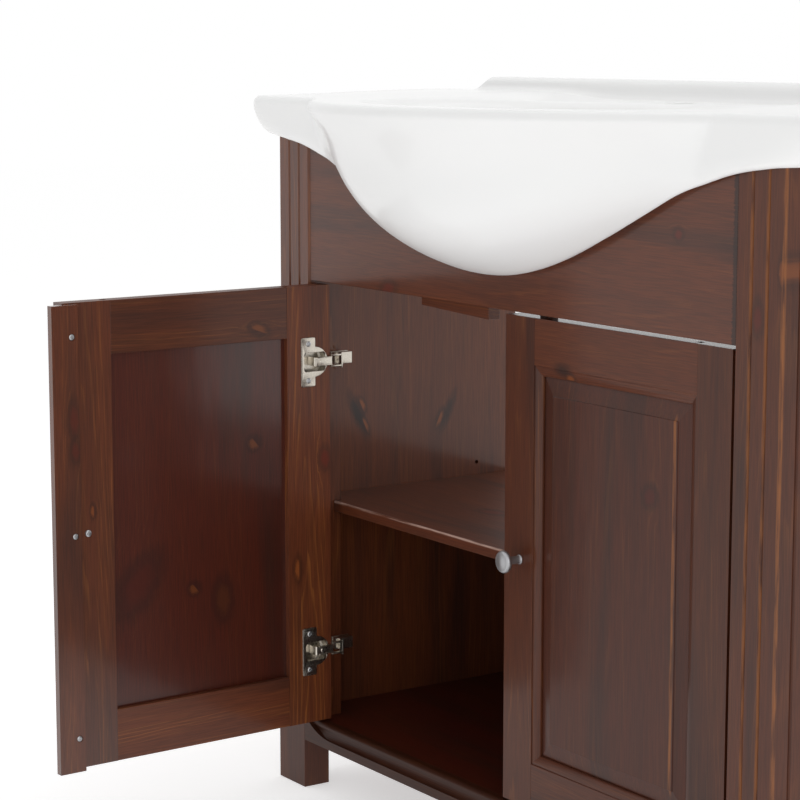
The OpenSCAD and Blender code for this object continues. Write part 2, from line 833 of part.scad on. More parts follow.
washbasin();
left_front_post();
right_front_post();
left_side_panel();
right_side_panel();
front_frieze();
left_stop_cleat();
right_stop_cleat();
upper_back_rail();
lower_back_board();
bottom_board();
front_base_rail();
left_front_foot();
right_front_foot();
left_rear_foot();
right_rear_foot();
shelf();
shelf_pins();
left_hinge_stile();
left_free_stile();
left_top_rail();
left_bottom_rail();
left_panel();
left_knob();
left_knob_screw();
closing_strip();
strip_screws();
left_hinge_cups();
left_hinge_links();
left_cup_screws();
left_hinge_arms();
left_hinge_plates();
left_plate_screws();
right_hinge_stile();
right_free_stile();
right_top_rail();
right_bottom_rail();
right_panel();
right_knob();
right_knob_screw();
right_hinge_cups();
right_hinge_links();
right_cup_screws();
right_hinge_arms();
right_hinge_plates();
right_plate_screws();
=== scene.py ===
"""Dressed model of a stained pine vanity unit with a bow-front ceramic washbasin.

Lengths in the classes are millimetres in the cabinet's own frame: X to the right, Y to the wall
with the front of the posts at 0, Z up from the floor. CABINET turns them into the row frame.
"""

from __future__ import annotations

import logging
import math
from collections.abc import Callable
from dataclasses import dataclass, field
from enum import Enum

import bmesh
import bpy
from mathutils import Matrix, Vector


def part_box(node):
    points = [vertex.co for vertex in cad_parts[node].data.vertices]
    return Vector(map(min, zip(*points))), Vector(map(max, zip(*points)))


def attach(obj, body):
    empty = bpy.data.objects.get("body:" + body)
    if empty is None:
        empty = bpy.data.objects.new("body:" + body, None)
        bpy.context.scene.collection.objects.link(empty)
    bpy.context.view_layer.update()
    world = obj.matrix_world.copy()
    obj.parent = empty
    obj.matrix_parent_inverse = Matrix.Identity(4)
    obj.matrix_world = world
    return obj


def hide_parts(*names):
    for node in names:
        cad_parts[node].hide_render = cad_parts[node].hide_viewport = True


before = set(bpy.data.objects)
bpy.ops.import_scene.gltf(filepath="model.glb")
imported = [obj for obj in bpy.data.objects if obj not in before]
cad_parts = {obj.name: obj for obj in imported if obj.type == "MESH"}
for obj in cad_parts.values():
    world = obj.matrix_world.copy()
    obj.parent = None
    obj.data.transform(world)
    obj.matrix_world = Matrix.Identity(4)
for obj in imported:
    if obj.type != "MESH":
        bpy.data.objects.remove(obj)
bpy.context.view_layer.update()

log = logging.getLogger("vanity")
# A millimetre in metres, and where the front of the posts stands in the row frame.
MM = 0.001
SHIFT_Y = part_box("left_front_post")[0].y
Pair = tuple[float, float]
Triple = tuple[float, float, float]
Colour = tuple[float, float, float, float]
Socket = bpy.types.NodeSocket

CABINET = Matrix.Translation((0.0, SHIFT_Y, 0.0)) @ Matrix.Scale(MM, 4)
OPEN_ANGLE = math.radians(88.0)
# Hinge axis: its distance from the cabinet's middle and from the posts' front, then the same
# axis in a door's own frame.
AXIS = (374.0, 9.5)
PIVOT = (4.0, 5.5)
# Doors: bottom edge, width, height, thickness, set-back behind the posts' front, hinge edge, and
# the height of the knobs above the floor.
DOOR_Z = 95.0
DOOR_W = 365.0
DOOR_H = 543.0
DOOR_T = 20.0
DOOR_IN = 4.0
EDGE_X = 378.0
KNOB_Z = 371.0

# Settings that many nodes share.
SMOOTH = {"interpolation_type": "SMOOTHSTEP"}
BLEND = {"data_type": "RGBA", "out": 2}
PLUS = {"operation": "ADD"}
TIMES = {"operation": "MULTIPLY"}
TIMES_PLUS = {"operation": "MULTIPLY_ADD"}
LENGTH = {"operation": "LENGTH", "out": "Value"}

# Quarter turns that point a turned part's axis to the front, to the wall and to the middle.
TO_FRONT = Matrix.Rotation(math.radians(90.0), 4, "X")
TO_BACK = Matrix.Rotation(math.radians(-90.0), 4, "X")
TO_MIDDLE = Matrix.Rotation(math.radians(90.0), 4, "Y")


def linear(hex_code: str) -> Colour:
    """Turns an sRGB hex colour into the linear colour that the shaders take.

    Args:
        hex_code: Colour such as "#4A1C12".

    Returns:
        Linear red, green, blue and an alpha of 1.
    """
    channels = [int(hex_code[i : i + 2], 16) / 255.0 for i in (1, 3, 5)]
    low = [c / 12.92 if c <= 0.04045 else ((c + 0.055) / 1.055) ** 2.4 for c in channels]
    return (low[0], low[1], low[2], 1.0)


def per_mm(size_mm: Triple) -> Triple:
    """Scale factors that give a pattern's cells these sizes, in millimetres."""
    return tuple(1.0 / s for s in size_mm)


class Graph:
    """Node tree of one material or world."""

    def __init__(self, tree: bpy.types.NodeTree) -> None:
        """Starts from an empty tree.

        Args:
            tree: Node tree to fill.
        """
        self.tree = tree
        tree.nodes.clear()

    def add(
        self, kind: str, inputs: dict | None = None, out: int | str = 0, **settings: object
    ) -> Socket | bpy.types.Node:
        """Adds a node with its settings, its input values and its links.

        Args:
            kind: Blender's name of the node type, without ShaderNode in front.
            inputs: Value or linked output for each input, by name or place.
            out: Output that is handed back.
            **settings: Attributes set on the node.

        Returns:
            The asked output socket, or the node itself where it has no output.
        """
        node = self.tree.nodes.new("ShaderNode" + kind)
        for name, value in settings.items():
            setattr(node, name, value)
        for key, value in (inputs or {}).items():
            if isinstance(value, Socket):
                self.tree.links.new(value, node.inputs[key])
            else:
                node.inputs[key].default_value = value
        return node.outputs[out] if len(node.outputs) else node


def new_material(name: str) -> tuple[bpy.types.Material, Graph]:
    """Makes an empty node material.

    Args:
        name: Name of the material.

    Returns:
        The material and its graph.
    """
    material = bpy.data.materials.new(name)
    material.use_nodes = True
    return material, Graph(material.node_tree)


def dress(obj: bpy.types.Object, material: bpy.types.Material) -> None:
    """Puts one material on every slot of an object.

    Args:
        obj: Object to dress.
        material: Its material.
    """
    obj.data.materials.clear()
    obj.data.materials.append(material)


class Heart(Enum):
    """What the middle of a knot looks like under the stain."""

    ORANGE = "#8A4A20"
    RED = "#5E1E10"
    DARK = "#1E110D"


@dataclass(frozen=True)
class Knot:
    """One knot of a board, in millimetres along and across the grain.

    A cut knot is a fleck: its colour stops sharply at one side, as where a branch was sawn along.
    """

    u: float
    v: float
    long: float
    wide: float
    tilt: float = 0.0
    heart: Heart = Heart.RED
    cut: bool = False
    depth: float = 0.6


@dataclass(frozen=True)
class Board:
    """CAD nodes cut from one board, with the frame that its grain runs in.

    tone is the brightness, gloss the weight of the varnish and top_gloss that of faces that look
    up. red, ochre and dark are shares of the stain's colours. rings is the spacing of the year
    rings and heart_v the place of their middle across the grain. arrises are edges drawn in
    wear_and_highlight_colour, each across and out of the board, and wear_and_highlight is how
    strongly they show: rubbed edges, and on the shelf a pale painted highlight over a rubbed edge.
    joints are places along the grain where a dark band of painted shade is drawn, as at
    the frieze's joint with the right post.
    """

    nodes: tuple[str, ...]
    origin: Triple
    along: Triple
    across: Triple
    seed: float
    tone: float = 1.0
    gloss: float = 0.6
    red: float = 0.2
    ochre: float = 0.4
    dark: float = 0.45
    rings: float = 5.0
    heart_v: float = 60.0
    knots: tuple[Knot, ...] = ()
    arrises: tuple[Pair, ...] = ()
    wear_and_highlight: float = 0.3
    joints: tuple[float, ...] = ()
    top_gloss: float | None = None
    wear_and_highlight_colour: str = "#8F5526"

    def to_grain(self) -> Matrix:
        """Place of the board's grain.

        Returns:
            Matrix from the row frame in millimetres to the grain's frame.
        """
        u, v = Vector(self.along).normalized(), Vector(self.across).normalized()
        turn = Matrix((u, v, u.cross(v)))
        place = Vector(self.origin) + Vector((0.0, SHIFT_Y / MM, 0.0))
        return Matrix.Translation(turn @ -place) @ turn.to_4x4()


@dataclass(frozen=True)
class StainedPine:
    """Pine stained dark walnut and varnished to a gloss.

    The stain sits unevenly and the hard late wood takes less of it, so the eye sees a red-brown
    ground with darker clouds, thin ochre lines along the grain, and a clear coat over it all
    that mirrors the room softly.
    """

    ground: str = "#5A2F19"
    red: str = "#5A1D0E"
    walnut: str = "#3A2018"
    ochre: str = "#8F5526"
    night: str = "#22110C"
    roughness: float = 0.5
    specular: float = 0.2
    coat_roughness: float = 0.15
    exposure: float = 1.13
    # Patterns of the wood: their length along the grain, width across it and depth. Fibres are
    # drawn coarser than real ones, which no render of the whole cabinet could show.
    wander_mm: float = 22.0
    fibre_mm: Triple = (38.0, 1.1, 1.1)
    drift_mm: Triple = (520.0, 90.0, 90.0)
    ragged_mm: Triple = (60.0, 5.0, 5.0)
    cloud_mm: Triple = (420.0, 44.0, 60.0)
    streak_mm: Triple = (260.0, 12.0, 20.0)
    rubbed_mm: Triple = (48.0, 3.5, 3.5)
    # Ragged edge of the painted shade at a joint.
    shadow_ragged_mm: Triple = (14.0, 1.4, 14.0)
    wave_mm: Triple = (70.0, 26.0, 26.0)

    def material(self, board: Board) -> bpy.types.Material:
        """Makes the material of one board.

        Args:
            board: Board with its grain frame, knots and worn places.

        Returns:
            The finished material.
        """
        material, g = new_material("stained_pine_" + board.nodes[0])
        to_grain = board.to_grain()
        where = g.add(
            "Mapping",
            {
                "Vector": g.add("TexCoord", out="Object"),
                "Location": to_grain.translation,
                "Rotation": to_grain.to_euler(),
                "Scale": (1 / MM, 1 / MM, 1 / MM),
            },
        )
        # Every board takes another part of the same endless patterns.
        apart = (board.seed * 911.0, board.seed * 377.0, board.seed * 53.0)
        seeded = g.add("VectorMath", {0: where, 1: apart}, **PLUS)
        v = g.add("SeparateXYZ", {0: where}, out="Y")
        v, hearts, rims = self._knots(g, board, where, v)
        rings = self._rings(g, board, where, seeded, v)
        cells = g.add("VectorMath", {0: seeded, 1: per_mm(self.fibre_mm)}, **TIMES)
        fibre = g.add("TexNoise", {"Vector": cells, "Scale": 1.0, "Detail": 3.0})
        colour = self._stain(g, board, seeded, rings, fibre)
        night = self._shade(self.night, board)
        for knot, heart, rim in zip(board.knots, hearts, rims):
            colour = g.add("Mix", {0: rim, 6: colour, 7: night}, **BLEND)
            core = self._shade(knot.heart.value, board)
            colour = g.add("Mix", {0: heart, 6: colour, 7: core}, **BLEND)
        colour = self._wear_and_painted_light(g, board, where, seeded, colour)
        height = g.add("Math", {0: rings, 1: 0.5, 2: fibre}, **TIMES_PLUS)
        grain = g.add("Bump", {"Strength": 0.35, "Distance": 0.00012, "Height": height})
        # Varnish lies in slow waves of a few centimetres over the board.
        cells = g.add("VectorMath", {0: seeded, 1: per_mm(self.wave_mm)}, **TIMES)
        wave = g.add("TexNoise", {"Vector": cells, "Scale": 1.0, "Detail": 1.0})
        coat = g.add("Bump", {"Strength": 0.5, "Distance": 0.0004, "Height": wave})
        inputs = {
            "Base Color": colour,
            "Roughness": self.roughness,
            "Specular IOR Level": self.specular,
            "Normal": grain,
            "Coat Weight": board.gloss,
            "Coat Roughness": self.coat_roughness,
            "Coat IOR": 1.5,
            "Coat Normal": coat,
        }
        if board.top_gloss is not None:
            # Edges that face up were rubbed or polished otherwise than the faces.
            up = g.add("SeparateXYZ", {0: g.add("NewGeometry", out="Normal")}, out="Z")
            glosses = {1: 0.6, 2: 0.9, 3: board.gloss, 4: board.top_gloss}
            inputs["Coat Weight"] = g.add("MapRange", {0: up, **glosses})
        shader = g.add("BsdfPrincipled", inputs)
        g.add("OutputMaterial", {"Surface": shader})
        return material

    def _shade(self, hex_code: str, board: Board) -> Colour:
        """Colour of the stain on a board that took more or less of it."""
        return tuple(c * board.tone * self.exposure for c in linear(hex_code)[:3]) + (1.0,)

    def _knots(
        self, g: Graph, board: Board, where: Socket, v: Socket
    ) -> tuple[Socket, list[Socket], list[Socket]]:
        """Bends the grain round each knot.

        Args:
            g: Graph of the material.
            board: Board with its knots.
            where: Position in the grain's frame.
            v: Position across the grain.

        Returns:
            Bent position across the grain, and masks of the hearts and rims.
        """
        hearts, rims = [], []
        for knot in board.knots:
            local = g.add(
                "Mapping",
                {
                    "Vector": where,
                    "Location": (knot.u, knot.v, 0.0),
                    "Rotation": (0.0, 0.0, math.radians(knot.tilt)),
                    "Scale": (knot.long, knot.wide, 400.0),
                },
                vector_type="TEXTURE",
            )
            ragged = {"Vector": local, "Scale": 1.7, "Detail": 5.0, "Roughness": 0.65}
            rough = g.add("TexNoise", ragged)
            # Distance from the knot's middle, ragged so that no knot is a plain oval.
            far = g.add("VectorMath", {0: local}, **LENGTH)
            d = g.add("Math", {0: rough, 1: 1.1, 2: far}, **TIMES_PLUS)
            # The grain flows round the knot and closes again behind it.
            side = g.add("SeparateXYZ", {0: local}, out="Y")
            reach = g.add("MapRange", {0: d, 1: 3.6, 2: 1.2, 4: -0.8 * knot.wide}, **SMOOTH)
            v = g.add("Math", {0: side, 1: reach, 2: v}, **TIMES_PLUS)
            heart = g.add("MapRange", {0: d, 1: 1.65, 2: 0.9, 4: knot.depth}, **SMOOTH)
            if knot.cut:
                inside = g.add("MapRange", {0: side, 1: -0.35, 2: -0.15}, **SMOOTH)
                heart = g.add("Math", {0: heart, 1: inside}, **TIMES)
            hearts.append(heart)
            rims.append(g.add("MapRange", {0: d, 1: 2.3, 2: 1.4, 4: 0.45}, **SMOOTH))
        return v, hearts, rims

    def _rings(self, g: Graph, board: Board, where: Socket, seeded: Socket, v: Socket) -> Socket:
        """Late wood of the year rings where the saw cut them, as narrow lines.

        Args:
            g: Graph of the material.
            board: Board with its ring spacing and the place of its heart.
            where: Position in the grain's frame.
            seeded: The same position, moved for the noises.
            v: Bent position across the grain.

        Returns:
            Mask that is 1 in the late wood.
        """
        cells = g.add("VectorMath", {0: seeded, 1: per_mm(self.drift_mm)}, **TIMES)
        drift = g.add("TexNoise", {"Vector": cells, "Scale": 1.0, "Detail": 2.0})
        v = g.add("Math", {0: drift, 1: self.wander_mm * 2.0, 2: v}, **TIMES_PLUS)
        # The cut runs past the tree's heart at a small angle, which draws the rings into arches.
        side = g.add("Math", {0: v, 1: board.heart_v + self.wander_mm}, operation="SUBTRACT")
        deep = g.add("SeparateXYZ", {0: where}, out="X")
        deep = g.add("Math", {0: deep, 1: 0.035, 2: 18.0}, **TIMES_PLUS)
        radius = g.add("VectorMath", {0: g.add("CombineXYZ", {0: side, 1: deep})}, **LENGTH)
        cells = g.add("VectorMath", {0: seeded, 1: per_mm(self.ragged_mm)}, **TIMES)
        rough = g.add("TexNoise", {"Vector": cells, "Scale": 1.0, "Detail": 2.0})
        radius = g.add("Math", {0: rough, 1: 2.5, 2: radius}, **TIMES_PLUS)
        count = g.add("Math", {0: radius, 1: board.rings}, operation="DIVIDE")
        part = g.add("Math", {0: count}, operation="FRACT")
        # Late wood comes in gradually and ends sharply.
        rise = g.add("MapRange", {0: part, 1: 0.62, 2: 0.9}, **SMOOTH)
        fall = g.add("MapRange", {0: part, 1: 1.0, 2: 0.94}, **SMOOTH)
        return g.add("Math", {0: rise, 1: fall}, **TIMES)

    def _stain(
        self, g: Graph, board: Board, seeded: Socket, rings: Socket, fibre: Socket
    ) -> Socket:
        """Uneven stain: ground with walnut clouds, ochre lines and fine dark fibres.

        Args:
            g: Graph of the material.
            board: Board with its share of red, ochre and dark.
            seeded: Position that the noises take.
            rings: Mask of the late wood.
            fibre: Fine noise along the grain.

        Returns:
            Colour of the stained wood.
        """
        # Walnut clouds, where the wood drank more of the stain.
        cells = g.add("VectorMath", {0: seeded, 1: per_mm(self.cloud_mm)}, **TIMES)
        broad = g.add("TexNoise", {"Vector": cells, "Scale": 1.0, "Detail": 3.0})
        low, high = 0.58 - 0.3 * board.dark, 0.94 - 0.3 * board.dark
        dark = g.add("MapRange", {0: broad, 1: low, 2: high}, **SMOOTH)
        ground, red = self._shade(self.ground, board), self._shade(self.red, board)
        mixed = tuple(a + (b - a) * board.red for a, b in zip(ground, red))
        colour = g.add("Mix", {0: dark, 6: mixed, 7: self._shade(self.walnut, board)}, **BLEND)
        # Ochre lines in places, mostly along the late wood, which is too hard to take the stain.
        other = g.add("VectorMath", {0: seeded, 1: (331.0, 719.0, 97.0)}, **PLUS)
        cells = g.add("VectorMath", {0: other, 1: per_mm(self.streak_mm)}, **TIMES)
        streak = g.add("TexNoise", {"Vector": cells, "Scale": 1.0, "Detail": 3.0})
        place = g.add("MapRange", {0: streak, 1: 0.42, 2: 0.68, 4: board.ochre}, **SMOOTH)
        lines = g.add("Math", {0: rings, 1: 0.75, 2: 0.15}, **TIMES_PLUS)
        bright = g.add("Math", {0: place, 1: lines}, **TIMES)
        colour = g.add("Mix", {0: bright, 6: colour, 7: self._shade(self.ochre, board)}, **BLEND)
        # Fine open fibres that the stain filled.
        shade = g.add("MapRange", {0: fibre, 1: 0.62, 2: 0.36, 4: 0.34}, **SMOOTH)
        return g.add("Mix", {0: shade, 6: colour, 7: self._shade(self.night, board)}, **BLEND)

    def _wear_and_painted_light(
        self, g: Graph, board: Board, where: Socket, seeded: Socket, colour: Socket
    ) -> Socket:
        """Ochre arrises where the stain was rubbed thin, a pale painted highlight along the shelf's
        arris, and bands of painted shade at the joints.

        Args:
            g: Graph of the material.
            board: Board with the places of its arrises and of its painted shadows.
            where: Position in the grain's frame.
            seeded: Position that the noises take.
            colour: Colour of the stained wood.

        Returns:
            Colour with the wear, the painted highlight and the painted shade.
        """
        # Arrises were sanded through in patches. A pale edge colour, as on the shelf, is a painted
        # highlight over the rubbed edge.
        cells = g.add("VectorMath", {0: seeded, 1: per_mm(self.rubbed_mm)}, **TIMES)
        patchy = g.add("TexNoise", {"Vector": cells, "Scale": 1.0, "Detail": 4.0})
        held = g.add("MapRange", {0: patchy, 1: 0.3, 2: 0.62}, **SMOOTH)
        for v, w in board.arrises:
            off = g.add("VectorMath", {0: where, 1: (0.0, -v, -w)}, **PLUS)
            off = g.add("VectorMath", {0: off, 1: (0.0, 1.0, 1.0)}, **TIMES)
            off = g.add("VectorMath", {0: off}, **LENGTH)
            near = g.add("MapRange", {0: off, 1: 3.2, 2: 0.8, 4: board.wear_and_highlight}, **SMOOTH)
            amount = g.add("Math", {0: near, 1: held}, **TIMES)
            colour = g.add("Mix", {0: amount, 6: colour, 7: linear(board.wear_and_highlight_colour)}, **BLEND)
        # Painted shade: a dark band with a ragged edge at a joint, standing for the shadow that the
        # post casts on the frieze.
        u = g.add("SeparateXYZ", {0: where}, out="X")
        cells = g.add("VectorMath", {0: seeded, 1: per_mm(self.shadow_ragged_mm)}, **TIMES)
        ragged = g.add("TexNoise", {"Vector": cells, "Scale": 1.0, "Detail": 2.0})
        for place in board.joints:
            off = g.add("Math", {0: u, 1: place}, operation="SUBTRACT")
            off = g.add("Math", {0: off}, operation="ABSOLUTE")
            off = g.add("Math", {0: ragged, 1: 7.0, 2: off}, **TIMES_PLUS)
            near = g.add("MapRange", {0: off, 1: 7.6, 2: 5.4, 4: 0.8}, **SMOOTH)
            colour = g.add("Mix", {0: near, 6: colour, 7: linear(self.night)}, **BLEND)
        return colour


@dataclass(frozen=True)
class GlazedCeramic:
    """Vitreous china with a fired white glaze: a bright even white under a mirror-smooth skin."""

    white: str = "#EFEFEF"
    thick: str = "#F2F2F1"
    roughness: float = 0.3
    coat_roughness: float = 0.04
    ripple_mm: float = 45.0

    def material(self) -> bpy.types.Material:
        """Makes the glaze, with the faint ripple that firing leaves.

        Returns:
            The finished material.
        """
        material, g = new_material("glazed_ceramic")
        place = g.add("TexCoord", out="Object")
        wave = g.add(
            "TexNoise", {"Vector": place, "Scale": 1.0 / (self.ripple_mm * MM), "Detail": 1.0}
        )
        ripple = g.add("Bump", {"Strength": 0.15, "Distance": 0.0003, "Height": wave})
        # Where the glaze lies thicker it is a trace whiter.
        cloud = g.add("TexNoise", {"Vector": place, "Scale": 6.0, "Detail": 2.0})
        tint = g.add("Mix", {0: cloud, 6: linear(self.white), 7: linear(self.thick)}, **BLEND)
        skin = {"Coat Weight": 0.25, "Coat Roughness": self.coat_roughness, "Coat Normal": ripple}
        body = {"Base Color": tint, "Roughness": self.roughness, "Specular IOR Level": 0.1}
        shader = g.add("BsdfPrincipled", {**body, **skin})
        g.add("OutputMaterial", {"Surface": shader})
        return material


class MetalTexture(Enum):
    """How the surface of a metal was finished, as cells of its scratches in a metre.

    Real scratches are finer. These are drawn coarser, so that a render can show them.
    """

    PLATED = (900.0, 900.0, 900.0)
    BRUSHED = (2600.0, 260.0, 260.0)


@dataclass(frozen=True)
class PlatedMetal:
    """Steel with a thin plating: bright, slightly warm for nickel and bluish for zinc."""

    name: str
    colour: str
    roughness: float
    texture: MetalTexture = MetalTexture.PLATED

    def material(self) -> bpy.types.Material:
        """Makes the metal, with fine scratches in its roughness and relief.

        Returns:
            The finished material.
        """
        material, g = new_material(self.name)
        place = g.add("TexCoord", out="Object")
        place = g.add("VectorMath", {0: place, 1: self.texture.value}, **TIMES)
        scratch = g.add("TexNoise", {"Vector": place, "Scale": 1.0, "Detail": 3.0})
        span = {1: 0.3, 2: 0.7, 3: self.roughness * 0.75, 4: self.roughness * 1.25}
        rough = g.add("MapRange", {0: scratch, **span})
        relief = g.add("Bump", {"Strength": 0.2, "Distance": 0.00003, "Height": scratch})
        colour = linear(self.colour)
        inputs = {"Base Color": colour, "Metallic": 1.0, "Roughness": rough, "Normal": relief}
        shader = g.add("BsdfPrincipled", inputs)
        g.add("OutputMaterial", {"Surface": shader})
        return material


PINE = StainedPine()
CERAMIC = GlazedCeramic()
# The hinges shine, the screws are duller, and the knobs' brushing blurs what they mirror.
NICKEL = PlatedMetal("nickel_plated_steel", "#CFC8BC", 0.3)
ZINC = PlatedMetal("zinc_plated_steel", "#BFC0C2", 0.34)
STEEL = PlatedMetal("brushed_steel", "#ABABAD", 0.4, MetalTexture.BRUSHED)


def finish_mesh(
    bm: bmesh.types.BMesh, name: str, matrix: Matrix, sharp_deg: float = 32.0
) -> bpy.types.Object:
    """Turns a bmesh in local millimetres into an object in the row frame.

    Args:
        bm: Mesh in the local frame. It is freed.
        name: Name of the new object.
        matrix: Matrix from the local frame to the row frame.
        sharp_deg: Angle above which an edge stays sharp.

    Returns:
        The new object, linked to the scene.
    """
    bmesh.ops.remove_doubles(bm, verts=bm.verts, dist=1e-4)
    bm.transform(matrix)
    bmesh.ops.recalc_face_normals(bm, faces=bm.faces)
    for face in bm.faces:
        face.smooth = True
    for edge in bm.edges:
        edge.smooth = edge.calc_face_angle(0.0) < math.radians(sharp_deg)
    mesh = bpy.data.meshes.new(name)
    bm.to_mesh(mesh)
    bm.free()
    obj = bpy.data.objects.new(name, mesh)
    bpy.context.scene.collection.objects.link(obj)
    return obj


def prism(bm: bmesh.types.BMesh, outline: list[Triple], push: Triple, bevel: float = 0.0) -> None:
    """Adds a solid swept from a flat outline, with softened edges.

    Args:
        bm: Mesh to add to.
        outline: Corners of one end, in order.
        push: Vector from that end to the other.
        bevel: Width of the softened edges, or 0 for none.
    """
    low = [bm.verts.new(p) for p in outline]
    high = [bm.verts.new(Vector(p) + Vector(push)) for p in outline]
    faces = [bm.faces.new(low), bm.faces.new(list(reversed(high)))]
    for i in range(len(low)):
        j = (i + 1) % len(low)
        faces.append(bm.faces.new((low[i], high[i], high[j], low[j])))
    bmesh.ops.recalc_face_normals(bm, faces=faces)
    if bevel > 0.0:
        edges = {e for f in faces for e in f.edges if e.calc_face_angle(0.0) > math.radians(25.0)}
        bmesh.ops.bevel(
            bm, geom=list(edges), offset=bevel, segments=2, profile=0.5, affect="EDGES"
        )


def block(bm: bmesh.types.BMesh, low: Triple, high: Triple, bevel: float = 0.3) -> None:
    """Adds a rectangular bar with softened edges.

    Args:
        bm: Mesh to add to.
        low: Its lowest corner.
        high: Its highest corner.
        bevel: Width of the softened edges.
    """
    outline = [(low[0], low[1], low[2]), (high[0], low[1], low[2]), (high[0], high[1], low[2])]
    outline.append((low[0], high[1], low[2]))
    prism(bm, outline, (0.0, 0.0, high[2] - low[2]), bevel)


def lathe(
    bm: bmesh.types.BMesh, profile: list[Pair], place: Matrix, segments: int = 48
) -> None:
    """Adds a solid turned about the local z axis of place.

    Args:
        bm: Mesh to add to.
        profile: Radius and height of each ring, from one end of the axis to the other.
        place: Matrix from the turning frame to the mesh's frame.
        segments: Number of sides.
    """
    rings = []
    for radius, height in profile:
        if radius < 1e-6:
            rings.append([bm.verts.new(place @ Vector((0.0, 0.0, height)))])
            continue
        turns = [2.0 * math.pi * i / segments for i in range(segments)]
        rings.append(
            [
                bm.verts.new(place @ Vector((radius * math.cos(a), radius * math.sin(a), height)))
                for a in turns
            ]
        )
    for a, b in zip(rings, rings[1:]):
        for i in range(segments):
            j = (i + 1) % segments
            corners = [a[i % len(a)], a[j % len(a)], b[j % len(b)], b[i % len(b)]]
            unique = list(dict.fromkeys(corners))
            if len(unique) > 2:
                bm.faces.new(unique)


def stamped(
    bm: bmesh.types.BMesh, loops: list[list[Pair]], thick: float, rolled: float, place: Matrix
) -> None:
    """Adds a sheet-metal plate with holes and rolled edges.

    Args:
        bm: Mesh to add to.
        loops: Outer outline first, then the outline of each hole.
        thick: Thickness of the sheet.
        rolled: Radius of the rolled edges.
        place: Matrix from the plate's plane, with z through it, to the mesh's frame.
    """
    curve = bpy.data.curves.new("plate", "CURVE")
    curve.dimensions = "2D"
    curve.fill_mode = "BOTH"
    curve.extrude = thick / 2 - rolled
    curve.bevel_depth = rolled
    curve.bevel_resolution = 1
    curve.offset = -rolled
    for loop in loops:
        spline = curve.splines.new("POLY")
        spline.points.add(len(loop) - 1)
        for point, (x, y) in zip(spline.points, loop):
            point.co = (x, y, 0.0, 1.0)
        spline.use_cyclic_u = True
    holder = bpy.data.objects.new("plate", curve)
    bpy.context.scene.collection.objects.link(holder)
    mesh = bpy.data.meshes.new_from_object(holder)
    mesh.transform(place)
    bm.from_mesh(mesh)
    bpy.data.objects.remove(holder)
    bpy.data.meshes.remove(mesh)
    bpy.data.curves.remove(curve)


def arc(centre: Pair, radius: float, start: float, end: float, steps: int = 10) -> list[Pair]:
    """Points of an arc, with its angles in degrees."""
    turns = [math.radians(start + (end - start) * i / steps) for i in range(steps + 1)]
    return [(centre[0] + radius * math.cos(a), centre[1] + radius * math.sin(a)) for a in turns]


def smooth_line(points: list[Pair], steps: int) -> list[Pair]:
    """Smooth line through points, as a Catmull-Rom spline.

    Args:
        points: Points that the line passes through.
        steps: Number of steps in each span.

    Returns:
        Points of the line.
    """
    padded = [points[0], *points, points[-1]]
    out = []
    for spans in zip(padded, padded[1:], padded[2:], padded[3:]):
        for k in range(steps):
            t = k / steps
            weights = (
                -t + 2 * t * t - t**3,
                2 - 5 * t * t + 3 * t**3,
                t + 4 * t * t - 3 * t**3,
                -t * t + t**3,
            )
            x, y = (0.5 * sum(w * q[i] for w, q in zip(weights, spans)) for i in (0, 1))
            out.append((x, y))
    out.append(points[-1])
    return out


def ease(v: float) -> float:
    """Half cosine wave from 0 to 1."""
    return (1.0 - math.cos(math.pi * min(1.0, max(0.0, v)))) / 2.0


def circular(v: float) -> float:
    """Quarter circle from 0, level, to 1, upright."""
    return 1.0 - math.sqrt(max(0.0, 1.0 - v * v))


